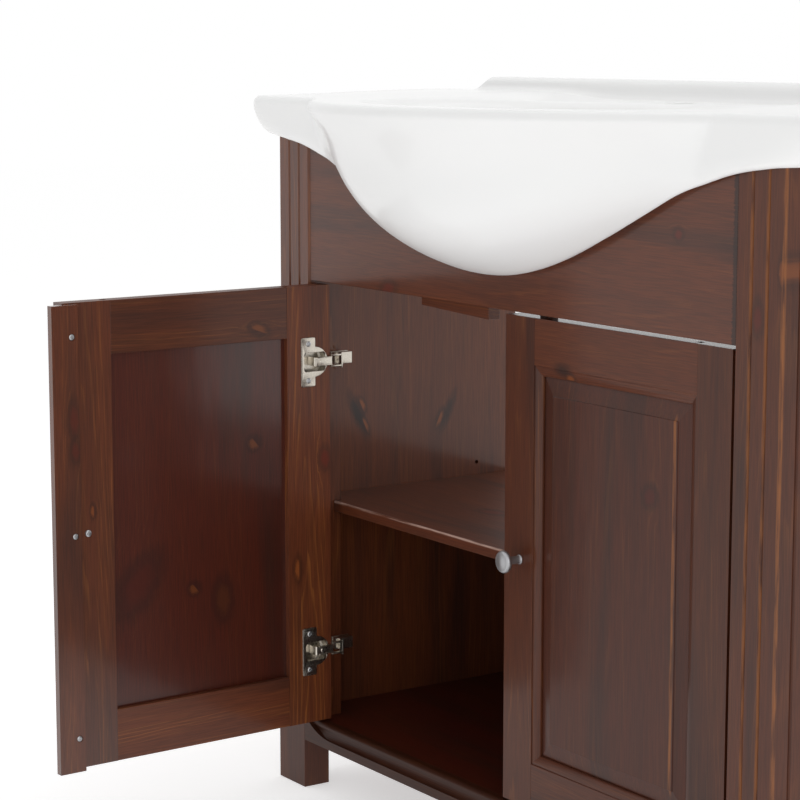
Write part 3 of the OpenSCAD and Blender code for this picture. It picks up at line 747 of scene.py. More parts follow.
@dataclass
class Washbasin:
    """Glazed bow-front basin, lofted from sections across its width."""

    # Half its width, the place of its last section, and the cabinet that it stands on.
    half: float = 525.0
    end_x: float = 522.3
    cab_h: float = 816.0
    cab_d: float = 350.0
    half_cab: float = 450.0
    # Front: the wings' thickness and reach, the bow's reach and half its width, the belly's
    # height, how fast the belly's form takes over, and how the bulge narrows lower down.
    wing_t: float = 44.0
    wing_out: float = 12.0
    bow_out: float = 142.0
    bow_half: float = 355.0
    belly_h: float = 128.0
    belly_rate: float = 3.0
    bulge_in: float = 0.05
    bulge_peak: float = 0.5
    # Bowl: depth, half its axes, the place of its middle, its level share, its walls' curve.
    bowl_h: float = 135.0
    bowl_r: Pair = (255.0, 165.0)
    bowl_y: float = 55.0
    bowl_flat: float = 0.24
    bowl_power: float = 1.5
    # Ledge at the wall: height, depth, the run of its ends and their place.
    ledge_h: float = 24.0
    ledge_d: float = 50.0
    ledge_slope: float = 46.0
    ledge_end: float = 52.0
    # Lower lip of the belly: how far it hangs, behind and above which line it ends.
    lip: float = 8.5
    lip_run: float = 9.0
    lip_top: float = 0.6
    # Deck: how far it is crowned and rises to the wall, and the level place round the tap.
    crown: float = 3.0
    crown_run: float = 100.0
    back_rise: float = 5.0
    back_run: float = 280.0
    level_r: float = 150.0
    # Rounding of the ends at the rim and at the foot, and of the shoulder.
    corner_r: float = 45.0
    nose_r: float = 105.0
    nose_in: float = 78.0
    nose_rate: float = 1.4
    roll_r: float = 10.0
    # Underside: where it starts to rise to the wall, and over which distance.
    under_flat: float = 100.0
    under_run: float = 190.0
    # Waste and tap holes: radius and distance of the axis behind the front of the posts.
    waste: Pair = (23.0, 60.0)
    tap: Pair = (17.5, 257.0)
    pocket_r: float = 32.0
    tap_seat: float = 18.0
    # Front of the belly and of a wing from the foot up, as shares of the reach and the height.
    front_line: list[Pair] = field(
        default_factory=lambda: [
            (0.0, 0.0),
            (0.10, 0.008),
            (0.21, 0.035),
            (0.39, 0.10),
            (0.57, 0.19),
            (0.70, 0.29),
            (0.77, 0.39),
            (0.805, 0.49),
            (0.83, 0.60),
            (0.86, 0.70),
            (0.905, 0.80),
            (0.96, 0.90),
            (1.0, 1.0),
        ]
    )
    wing_line: list[Pair] = field(
        default_factory=lambda: [
            (0.0, 0.0),
            (0.12, -0.06),
            (0.38, -0.09),
            (0.62, -0.07),
            (0.80, -0.02),
            (0.91, 0.05),
            (0.97, 0.16),
            (1.0, 0.28),
            (1.0, 0.41),
            (1.0, 0.55),
            (1.0, 0.70),
            (1.0, 0.85),
            (1.0, 1.0),
        ]
    )

    @property
    def rim_z(self) -> float:
        """Height of the rim."""
        return self.cab_h + self.wing_t

    def at_end(self, x: float, r: float) -> float:
        """Share of the end rounding at x, 0 inside it and 1 at the very end."""
        return min(1.0, max(0.0, (abs(x) - self.half + r) / r))

    def root_y(self, x: float) -> float:
        """Front of the underside at x."""
        return self.nose_in * circular(self.at_end(x, self.nose_r))

    def front_y(self, x: float) -> float:
        """Front of the rim at x."""
        return self.corner_r * circular(self.at_end(x, self.corner_r)) - self.reach(x, 1.0)

    def reach(self, x: float, up: float) -> float:
        """How far the front stands out, where the bulge starts nearer the middle lower down.

        Args:
            x: Place across the width.
            up: Share of the front's height, 1 at the rim.

        Returns:
            Distance in front of the posts.
        """
        half = self.bow_half * (1.0 - self.bulge_in * (1.0 - up))
        bow = max(0.0, 1.0 - (x / half) ** 2)
        return self.wing_out + self.bow_out * bow ** (1.0 + self.bulge_peak * (1.0 - up))

    def under_z(self, x: float, y: float) -> float:
        """Height of the underside, level at the wings and the wall.

        Args:
            x: Place across the width.
            y: Distance behind the front of the posts.

        Returns:
            Height above the floor.
        """
        drop = self.belly_h * (1.0 - ease(abs(x) / self.half_cab))
        back = 1.0 - ease((y - self.under_flat) / self.under_run)
        lift = (self.wing_t - self.roll_r) * circular(self.at_end(x, self.corner_r))
        return self.cab_h - drop * back + lift

    def top_z(self, x: float) -> float:
        """Height of the deck at x."""
        return self.rim_z - 0.8 * self.roll_r * circular(self.at_end(x, self.roll_r))

    def bowl(self, x: float, y: float) -> float:
        """Share of the bowl's depth at a point of the deck.

        Args:
            x: Place across the width.
            y: Distance behind the front of the posts.

        Returns:
            1 at the bottom and 0 outside the bowl.
        """
        rho = math.hypot(x / self.bowl_r[0], (y - self.bowl_y) / self.bowl_r[1])
        part = min(1.0, max(0.0, (rho - self.bowl_flat) / (1.0 - self.bowl_flat)))
        return 1.0 - ease(part**self.bowl_power)

    def ledge(self, x: float) -> float:
        """Share of the ledge's height at x."""
        past = abs(x) - self.half + self.ledge_end + self.ledge_slope
        return 1.0 - ease(past / self.ledge_slope)

    def face(self, x: float) -> list[Pair]:
        """Front of the basin, blended from the drawn-in end to the blunt wing and the full belly.

        Args:
            x: Place across the width.

        Returns:
            Points from the foot to the shoulder, as shares of the reach and the height.
        """
        belly = self.belly_share(x)
        tip = min(1.0, self.nose_rate * self.at_end(x, self.nose_r))
        turns = [math.pi / 2 * i / (len(self.wing_line) - 1) for i in range(len(self.wing_line))]
        nose = [(math.sin(t), 1.0 - math.cos(t)) for t in turns]
        line = self.blend(self.wing_line, self.front_line, belly)
        return smooth_line(self.blend(line, nose, tip), 4)

    def belly_share(self, x: float) -> float:
        """Share of the belly's form at x, 0 on the wings and 1 on the belly."""
        return ease(self.belly_rate * max(0.0, 1.0 - (x / self.bow_half) ** 2))

    @staticmethod
    def blend(a: list[Pair], b: list[Pair], share: float) -> list[Pair]:
        """Line between two lines of as many points."""
        return [(p + (r - p) * share, q + (s - q) * share) for (p, q), (r, s) in zip(a, b)]

    def raised(self, x: float, y: float) -> float:
        """Height that the deck is crowned by and rises to the wall, none of it round the tap.

        Args:
            x: Place across the width.
            y: Distance behind the front of the posts.

        Returns:
            Height above the level of the rim.
        """
        aside = ease((abs(x) - self.level_r) / self.level_r)
        crown = self.crown * max(aside, ease((self.level_r - y) / self.crown_run))
        return crown + self.back_rise * aside * ease(y / self.back_run)

    def section(self, x: float) -> list[Triple]:
        """Closed outline of the basin at x, from the wall forward and back over the deck.

        Args:
            x: Place of the section.

        Returns:
            Points in cabinet millimetres.
        """
        outline = self._underside(x) + self._front(x) + self._deck(x)
        return [(x, y, z) for y, z in outline]

    def _underside(self, x: float, steps: int = 24) -> list[Pair]:
        """Underside from the wall forward to the foot of the front.

        Args:
            x: Place of the section.
            steps: Number of its points.

        Returns:
            Distances behind the front of the posts, with heights.
        """
        root = self.root_y(x)
        ys = [root + (1.0 - i / steps) * (self.cab_d - root) for i in range(steps)]
        return [(y, self.under_z(x, y)) for y in ys]

    def _front(self, x: float, steps: int = 8) -> list[Pair]:
        """Front from its foot up, and the rounded shoulder over it.

        Args:
            x: Place of the section.
            steps: Number of points on the shoulder.

        Returns:
            Distances behind the front of the posts, with heights.
        """
        root, front = self.root_y(x), self.front_y(x)
        foot, belly = self.under_z(x, root), self.belly_share(x)
        shoulder = self.rim_z - self.roll_r + self.crown
        points: list[Pair] = []
        for out, up in self.face(x):
            pull = self.reach(x, min(1.0, max(0.0, up))) - self.reach(x, 1.0)
            y = root + (front - root - pull) * out
            sag = self.lip * belly * ease((root - y) / self.lip_run)
            sag *= 1.0 - ease(up / self.lip_top)
            points.append((y, foot + (shoulder - foot) * up - sag))
        roll = self.top_z(x) - self.rim_z + self.roll_r
        for i in range(1, steps + 1):
            a = math.radians(90.0 * i / steps)
            y = front + self.roll_r * (1 - math.cos(a))
            points.append((y, shoulder + roll * math.sin(a)))
        return points

    def _deck(self, x: float, steps: int = 56) -> list[Pair]:
        """Deck with its bowl, then the ledge up to the wall.

        Args:
            x: Place of the section.
            steps: Number of steps over the bowl.

        Returns:
            Distances behind the front of the posts, with heights.
        """
        top, rise = self.top_z(x), self.ledge_h * self.ledge(x)
        start = self.front_y(x) + self.roll_r + 8.0
        end = self.cab_d - self.ledge_d - 14.0
        points: list[Pair] = []
        for i in range(steps + 1):
            y = start + (end - start) * ease(i / steps)
            points.append((y, top + self.raised(x, y) - self.bowl_h * self.bowl(x, y)))
        for out, up in smooth_line([(-6.0, 0.0), (0.0, 0.3), (3.0, 0.75), (9.0, 1.0)], 3):
            y = self.cab_d - self.ledge_d + out
            points.append((y, top + self.raised(x, y) * (1.0 - up) + rise * up))
        for out, up in smooth_line([(7.0, 1.0), (2.0, 0.88), (0.0, 0.6)], 3):
            points.append((self.cab_d - out, top + rise * up))
        return points

    def build(self) -> bpy.types.Object:
        """Lofts the basin, bores it and glazes it.

        Returns:
            The basin.
        """
        bm = bmesh.new()
        count = 96
        # Sections stand closer together towards the ends, where the form turns fastest.
        xs = [self.end_x * math.sin(math.pi / 2 * i / count) for i in range(-count, count + 1)]
        rows = [[bm.verts.new(p) for p in self.section(x)] for x in xs]
        size = len(rows[0])
        for a, b in zip(rows, rows[1:]):
            for j in range(size):
                k = (j + 1) % size
                bm.faces.new((a[j], a[k], b[k], b[j]))
        for row in (rows[0], rows[-1]):
            middle = bm.verts.new(sum((v.co for v in row), Vector()) / size)
            for j in range(size):
                bm.faces.new((row[j], row[(j + 1) % size], middle))
        body = finish_mesh(bm, "basin", CABINET, 50.0)
        cuts = [
            (*self.waste, self.cab_h - self.belly_h - 5.0, self.rim_z + 5.0),
            (*self.tap, self.cab_h - self.belly_h, self.rim_z + 60.0),
            (self.pocket_r, self.tap[1], self.cab_h - self.belly_h, self.rim_z - self.tap_seat),
        ]
        for radius, y, low, high in cuts:
            self._bore(body, radius, y, low, high)
        dress(body, CERAMIC.material())
        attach(body, "cabinet")
        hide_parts("washbasin")
        log.info("basin: %d faces", len(body.data.polygons))
        return body

    def _bore(
        self, body: bpy.types.Object, radius: float, y: float, low: float, high: float
    ) -> None:
        """Cuts one round hole.

        Args:
            body: Basin to cut.
            radius: Radius of the hole.
            y: Distance of its axis from the front of the posts.
            low: Lower end of the cut.
            high: Upper end of the cut.
        """
        bm = bmesh.new()
        axis = Matrix.Translation((0, y, 0))
        lathe(bm, [(0, low), (radius, low), (radius, high), (0, high)], axis, 72)
        tool = finish_mesh(bm, "bore", CABINET)
        cut = body.modifiers.new("bore", "BOOLEAN")
        cut.operation, cut.solver, cut.object = "DIFFERENCE", "EXACT", tool
        dg = bpy.context.evaluated_depsgraph_get()
        mesh = bpy.data.meshes.new_from_object(body.evaluated_get(dg))
        body.modifiers.clear()
        body.data = mesh
        bpy.data.objects.remove(tool)


def low_corner(node: str) -> Triple:
    """Low corner of a CAD node's box, in cabinet millimetres."""
    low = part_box(node)[0]
    return (low.x / MM, (low.y - SHIFT_Y) / MM, low.z / MM)


@dataclass
class Cabinet:
    """Posts, panels, boards and feet, kept from the construction and dressed in stained pine."""

    # Half the width, inner faces of posts, side panels and feet, then undersides, stop and edges.
    half: float = 450.0
    open_x: float = 384.0
    side_x: float = 432.0
    foot_x: float = 394.0
    base_h: float = 91.0
    frieze_z: float = 642.0
    stop_w: float = 12.0
    bevel_mm: float = 0.7

    def boards(self) -> list[Board]:
        """Boards of the fixed frame with their grain.

        Returns:
            One entry for each piece of wood.
        """
        x, y, z = (1.0, 0.0, 0.0), (0.0, 1.0, 0.0), (0.0, 0.0, 1.0)
        left = (-1.0, 0.0, 0.0)
        orange, dark = Heart.ORANGE, Heart.DARK
        return [
            Board(
                ("left_front_post",), (-self.open_x, 0, self.base_h), z, left, 1.3,
                tone=1.0, gloss=0.62, ochre=0.3, wear_and_highlight=0.35,
                arrises=((0.9, -1.5), (22.9, -1.5), (44.9, -1.5)),
            ),
            Board(
                ("right_front_post",), (self.open_x, 0, self.base_h), z, x, 2.1,
                tone=0.78, gloss=0.33, ochre=0.2, dark=0.45, wear_and_highlight=0.8,
                arrises=((-0.9, 1.5), (21.1, 1.5), (43.1, 1.5), (65.2, 1.5)),
                knots=(Knot(627, 64, 14, 5, 0, orange), Knot(580, 32, 16, 7)),
            ),
            Board(
                ("front_frieze",), (-self.open_x, 2, self.frieze_z), x, z, 3.4,
                tone=0.95, gloss=0.5, ochre=0.15, rings=4.0, heart_v=30,
                knots=(Knot(682, 101, 7, 6), Knot(170, 4, 16, 8, 10)),
                # Painted shadow of the right post on the frieze's right end.
                joints=(765.0,),
            ),
            Board(
                ("left_side_panel",), (-self.side_x, 0, 73), z, y, 4.7,
                tone=1.2, gloss=0.6, red=0.1, ochre=0.2, rings=7.0, heart_v=150,
                knots=(
                    Knot(390, 101, 26, 7, -25, dark, depth=0.9),
                    Knot(400, 108, 10, 5, -25, orange, True),
                    Knot(374, 113, 12, 4, -25, orange, True),
                    Knot(380, 241, 24, 6, 24, dark),
                    Knot(372, 228, 13, 5, 24, orange, True),
                ),
            ),
            Board(("right_side_panel",), (self.side_x, 0, 73), z, y, 5.2, tone=0.8, rings=7.0,
                  heart_v=180, knots=(Knot(300, 120, 20, 12), Knot(520, 230, 16, 9, 8, dark))),
            Board(("left_stop_cleat",), (-178, 24, 624), x, z, 6.1, dark=0.7),
            Board(("upper_back_rail",), (-self.side_x, 332, 746), x, z, 7.3, tone=1.4,
                  knots=(Knot(250, 40, 12, 9),)),
            Board(("lower_back_board",), (-self.side_x, 342, 91), x, z, 7.9, tone=0.6, red=1.0,
                  rings=8.0),
            Board(("bottom_board",), (-self.side_x, 14, 91), x, y, 8.2, tone=0.62, red=1.0,
                  ochre=0.15, dark=0.6),
            Board(("front_base_rail",), (-self.foot_x, -4, 62), x, z, 9.1, tone=0.36, gloss=0.1,
                  ochre=0.2, rings=4.0),
            Board(("left_front_foot",), (-self.half, -4, 0), z, x, 10.3, tone=0.62, gloss=0.2,
                  ochre=0.25),
            Board(("right_front_foot",), (self.foot_x, -4, 0), z, x, 11.2, tone=0.62, gloss=0.2,
                  ochre=0.25),
            Board(("left_rear_foot",), (-self.half, 314, 0), z, x, 12.8),
            Board(("right_rear_foot",), (self.foot_x, 314, 0), z, x, 13.5),
            # The shelf's pale arris is a painted highlight of the room's light over a rubbed edge.
            Board(("shelf",), low_corner("shelf"), x, y, 14.6, tone=1.05, gloss=0.45,
                  ochre=0.2, dark=0.5, arrises=((0.0, 13.0),), wear_and_highlight=0.9, wear_and_highlight_colour="#C2A294",
                  knots=(Knot(220, 120, 22, 12, 10),)),
        ]

    def build(self) -> None:
        """Dresses every board of the fixed frame and makes the right stop."""
        for board in self.boards():
            dress_board(board, self.bevel_mm)
        self._right_stop()

    def _right_stop(self) -> None:
        """Short stop of the right door: the gap above the door shows light along its length."""
        low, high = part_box("right_stop_cleat")
        bm = bmesh.new()
        y0, y1 = ((v - SHIFT_Y) / MM for v in (low.y, high.y))
        near = low.x / MM
        block(bm, (near, y0, low.z / MM), (near + self.stop_w, y1, high.z / MM), self.bevel_mm)
        stop = finish_mesh(bm, "right_stop_block", CABINET)
        along, across = (1.0, 0.0, 0.0), (0.0, 0.0, 1.0)
        board = Board(("right_stop_cleat",), (near, y0, 624), along, across, 6.6, dark=0.7)
        dress(stop, PINE.material(board))
        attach(stop, "cabinet")
        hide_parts("right_stop_cleat")
        log.info("stop: right_stop_block")


def dress_board(board: Board, bevel_mm: float) -> None:
    """Softens the edges of a board's nodes and gives them its material.

    Args:
        board: Board to dress.
        bevel_mm: Width of the softened edges.
    """
    material = PINE.material(board)
    for name in board.nodes:
        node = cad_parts[name]
        dress(node, material)
        weld = node.modifiers.new("weld", "WELD")
        weld.merge_threshold = 0.00001
        flat = node.modifiers.new("flat", "DECIMATE")
        flat.decimate_type = "DISSOLVE"
        flat.angle_limit = math.radians(0.5)
        soft = node.modifiers.new("soft", "BEVEL")
        soft.width = bevel_mm * MM
        soft.segments = 2
        soft.limit_method = "ANGLE"
        soft.angle_limit = math.radians(35.0)
        even = node.modifiers.new("even", "WEIGHTED_NORMAL")
        even.keep_sharp = True
        log.info("board: %s", name)


class Side(Enum):
    """Side of the cabinet that a door hangs on."""

    LEFT = "left"
    RIGHT = "right"

    def door_frame(self) -> Matrix:
        """A door's own frame: x from the hinge edge, y from its front face, z from its bottom.

        The right door's frame is the mirror image of the left door's.

        Returns:
            Matrix from door millimetres to cabinet millimetres, left door open, right one closed.
        """
        if self is Side.RIGHT:
            mirror = Matrix.Diagonal((-1.0, 1.0, 1.0, 1.0))
            return Matrix.Translation((EDGE_X, DOOR_IN, DOOR_Z)) @ mirror
        return (
            Matrix.Translation((-AXIS[0], AXIS[1], 0.0))
            @ Matrix.Rotation(-OPEN_ANGLE, 4, "Z")
            @ Matrix.Translation((-PIVOT[0], -PIVOT[1], DOOR_Z))
        )


@dataclass
class Door:
    """Framed door with its panel, knob and hinges."""

    side: Side
    # Softened edges, the knob's distance from the free edge, its diameter and its length.
    bevel_mm: float = 0.8
    knob_x: float = 28.0
    knob_d: float = 25.0
    knob_l: float = 27.0

    @property
    def body(self) -> str:
        """Name of the body that the door moves with."""
        return self.side.value + "_door"

    def boards(self) -> list[Board]:
        """Boards of the door with their grain, seen in its own frame.

        Returns:
            One entry for each piece of wood.
        """
        z, orange, dark = (0.0, 0.0, 1.0), Heart.ORANGE, Heart.DARK
        if self.side is Side.LEFT:
            place = self.side.door_frame()
            origin = tuple(place @ Vector((0.0, 0.0, 0.0)))
            x = tuple(place.to_3x3() @ Vector((1.0, 0.0, 0.0)))
            return [
                Board(("left_hinge_stile",), origin, z, x, 21.7, tone=1.15, gloss=0.32, ochre=0.6,
                      dark=0.3, rings=4.5, heart_v=34, top_gloss=0.12,
                      knots=(Knot(196, 48, 15, 6, 0, orange, True), Knot(330, 8, 14, 8))),
                Board(("left_free_stile",), origin, z, x, 22.4, tone=0.92, gloss=1.0, ochre=0.45,
                      rings=4.0, heart_v=345, top_gloss=0.12,
                      knots=(Knot(454, 296, 8, 4, 10, orange, True),
                             Knot(301, 330, 8, 4, 0, orange, True))),
                Board(("left_top_rail",), origin, x, z, 23.3, tone=0.74, gloss=0.45, ochre=0.35,
                      rings=5.0, heart_v=560, top_gloss=0.12,
                      knots=(Knot(102, 495, 14, 7, 20, orange, True),)),
                Board(("left_bottom_rail",), origin, x, z, 24.9, tone=1.08, gloss=0.5, ochre=0.5,
                      dark=0.3, rings=4.0, heart_v=-20),
                Board(("left_panel",), origin, z, x, 25.2, tone=0.6, gloss=1.0, red=0.8,
                      ochre=0.12, dark=0.22, rings=8.0, heart_v=180,
                      knots=(
                          Knot(357, 106, 9, 9, 40, orange, True),
                          Knot(204, 268, 38, 20, -38, depth=0.5),
                          Knot(190, 192, 8, 8, 40, orange, True),
                          Knot(172, 152, 24, 12, 0, orange, depth=0.2),
                      )),
                Board(("closing_strip",), origin, z, x, 26.6, tone=0.95, gloss=1.0, ochre=0.3,
                      rings=4.5, heart_v=330,
                      knots=(Knot(411, 357, 20, 7, depth=0.4), Knot(375, 356, 13, 6, depth=0.4))),
            ]
        flat_x = (1.0, 0.0, 0.0)
        corner = (EDGE_X - DOOR_W, DOOR_IN, DOOR_Z)
        return [
            Board(("right_free_stile",), corner, z, flat_x, 31.4, tone=0.7, gloss=0.3,
                  ochre=0.4, top_gloss=0.75, dark=0.4, rings=5.0, heart_v=20),
            Board(("right_hinge_stile",), corner, z, flat_x, 32.8, tone=0.62, gloss=0.3,
                  ochre=0.25, top_gloss=0.75, heart_v=330),
            Board(("right_top_rail",), corner, flat_x, z, 33.6, tone=0.86, gloss=0.3,
                  ochre=0.2, dark=0.2, top_gloss=0.75, rings=3.5, heart_v=545,
                  knots=(Knot(100, 492, 12, 6, 0, dark), Knot(111, 484, 8, 5, 0, orange, True))),
            Board(("right_bottom_rail",), corner, flat_x, z, 34.5, tone=0.7, gloss=0.3,
                  ochre=0.25, rings=4.0, heart_v=0),
            Board(("right_panel",), corner, z, flat_x, 35.3, tone=0.58, gloss=0.3,
                  ochre=0.2, red=0.4, rings=7.0, heart_v=190, knots=(Knot(379, 243, 12, 10, 20),),
                  arrises=((280.0, 2.0),), wear_and_highlight=0.7),
        ]

    def build(self) -> None:
        """Dresses the door's boards and makes its metal pieces."""
        for board in self.boards():
            dress_board(board, self.bevel_mm)
        self._knob()
        if self.side is Side.LEFT:
            self._strip_screws()

    def _add(
        self, bm: bmesh.types.BMesh, name: str, metal: PlatedMetal, slot: str, *nodes: str
    ) -> bpy.types.Object:
        """Finishes a metal piece in the door's frame and hangs it on the door.

        Args:
            bm: Mesh in the door's frame.
            name: Name of the piece.
            metal: Its finish.
            slot: Not used.
            *nodes: CAD nodes that it stands for.

        Returns:
            The piece.
        """
        obj = finish_mesh(bm, name, CABINET @ self.side.door_frame())
        dress(obj, metal.material())
        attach(obj, self.body)
        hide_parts(*nodes)
        log.info("metal: %s", name)
        return obj

    def _knob(self) -> None:
        """Turned knob with a domed head, and the bolt that holds it."""
        r, long, side = self.knob_d / 2, self.knob_l, self.side.value
        z = KNOB_Z - DOOR_Z
        out = Matrix.Translation((DOOR_W - self.knob_x, 0.0, z)) @ TO_FRONT
        profile = [(0, 0), (5.2, 0), (5.3, 0.4), (5.3, 1.0), (4.9, 1.5), (4.4, 3.0), (4.2, 5.0)]
        profile += [(4.1, 9.0), (4.2, 13.5), (4.7, 16.0), (6.2, 17.8), (9.0, 18.7), (r - 1.2, 19.2)]
        profile += [(r - 0.4, 19.7), (r, 20.8), (r, 22.3), (r - 0.3, 23.4), (r - 1.0, 24.4)]
        profile += [(r - 2.0, 25.2), (r - 2.6, 25.5), (r - 3.2, 25.45), (r - 3.8, 25.5)]
        profile += [(r * 0.45, long - 0.7), (r * 0.2, long - 0.1), (0, long)]
        bm = bmesh.new()
        lathe(bm, profile, out, 72)
        self._add(bm, side + "_knob_turned", STEEL, "brushed_knob", side + "_knob")
        bm = bmesh.new()
        back = Matrix.Translation((DOOR_W - self.knob_x, DOOR_T, z)) @ TO_BACK
        screw_head(bm, back, 4.0, 2.2)
        self._add(bm, side + "_knob_bolt", ZINC, "zinc_screw", side + "_knob_screw")

    def _strip_screws(self) -> None:
        """Three screws of the closing strip, set flush."""
        bm = bmesh.new()
        end, strip_t, sunk = 38.0, 9.0, 1.4
        for z in (end, KNOB_Z - DOOR_Z, DOOR_H - end):
            place = Matrix.Translation((DOOR_W - 7.5, DOOR_T + strip_t - sunk, z))
            screw_head(bm, place @ TO_BACK, 3.5, 1.3)
        self._add(bm, "strip_screw_heads", ZINC, "zinc_screw", "strip_screws")


def screw_head(bm: bmesh.types.BMesh, place: Matrix, radius: float, high: float) -> None:
    """Adds a domed screw head with a cross recess.

    Args:
        bm: Mesh to add to.
        place: Matrix from the head's frame, with z outward, to the mesh's frame.
        radius: Radius of the head.
        high: Height of the head above its seat.
    """
    steps, arm, width, floor_h = 32, radius * 0.62, radius * 0.2, high * 0.25
    curve = ((1.0, 0.2), (0.99, 0.4), (0.94, 0.62), (0.84, 0.8), (0.7, 0.92))
    dome = [(radius * out, high * up) for out, up in curve]
    lathe(bm, [(0.0, -1.0), (radius, -1.0), *dome], place, steps)
    ring_r, ring_h = dome[-1]
    turns = [Matrix.Rotation(math.radians(90.0 * q), 4, "Z") for q in range(4)]
    corners = [Vector((x, y, 0.0)) for x, y in ((arm, -width), (arm, width), (width, width))]
    cross = [turn @ corner for turn in turns for corner in corners]
    rim = [bm.verts.new(place @ Vector((p.x, p.y, ring_h))) for p in cross]
    floor = [bm.verts.new(place @ Vector((p.x * 0.8, p.y * 0.8, floor_h))) for p in cross]
    centre = bm.verts.new(place @ Vector((0.0, 0.0, floor_h)))
    edges = []
    for i in range(len(cross)):
        j = (i + 1) % len(cross)
        bm.faces.new((rim[i], rim[j], floor[j], floor[i]))
        bm.faces.new((floor[i], floor[j], centre))
        edges.append(bm.edges.get((rim[i], rim[j])))
    angles = [2.0 * math.pi * i / steps for i in range(steps)]
    outer = [
        bm.verts.new(place @ Vector((ring_r * math.cos(t), ring_r * math.sin(t), ring_h)))
        for t in angles
    ]
    edges += [bm.edges.new((outer[i - 1], outer[i])) for i in range(steps)]
    bmesh.ops.triangle_fill(bm, edges=edges, use_beauty=True)


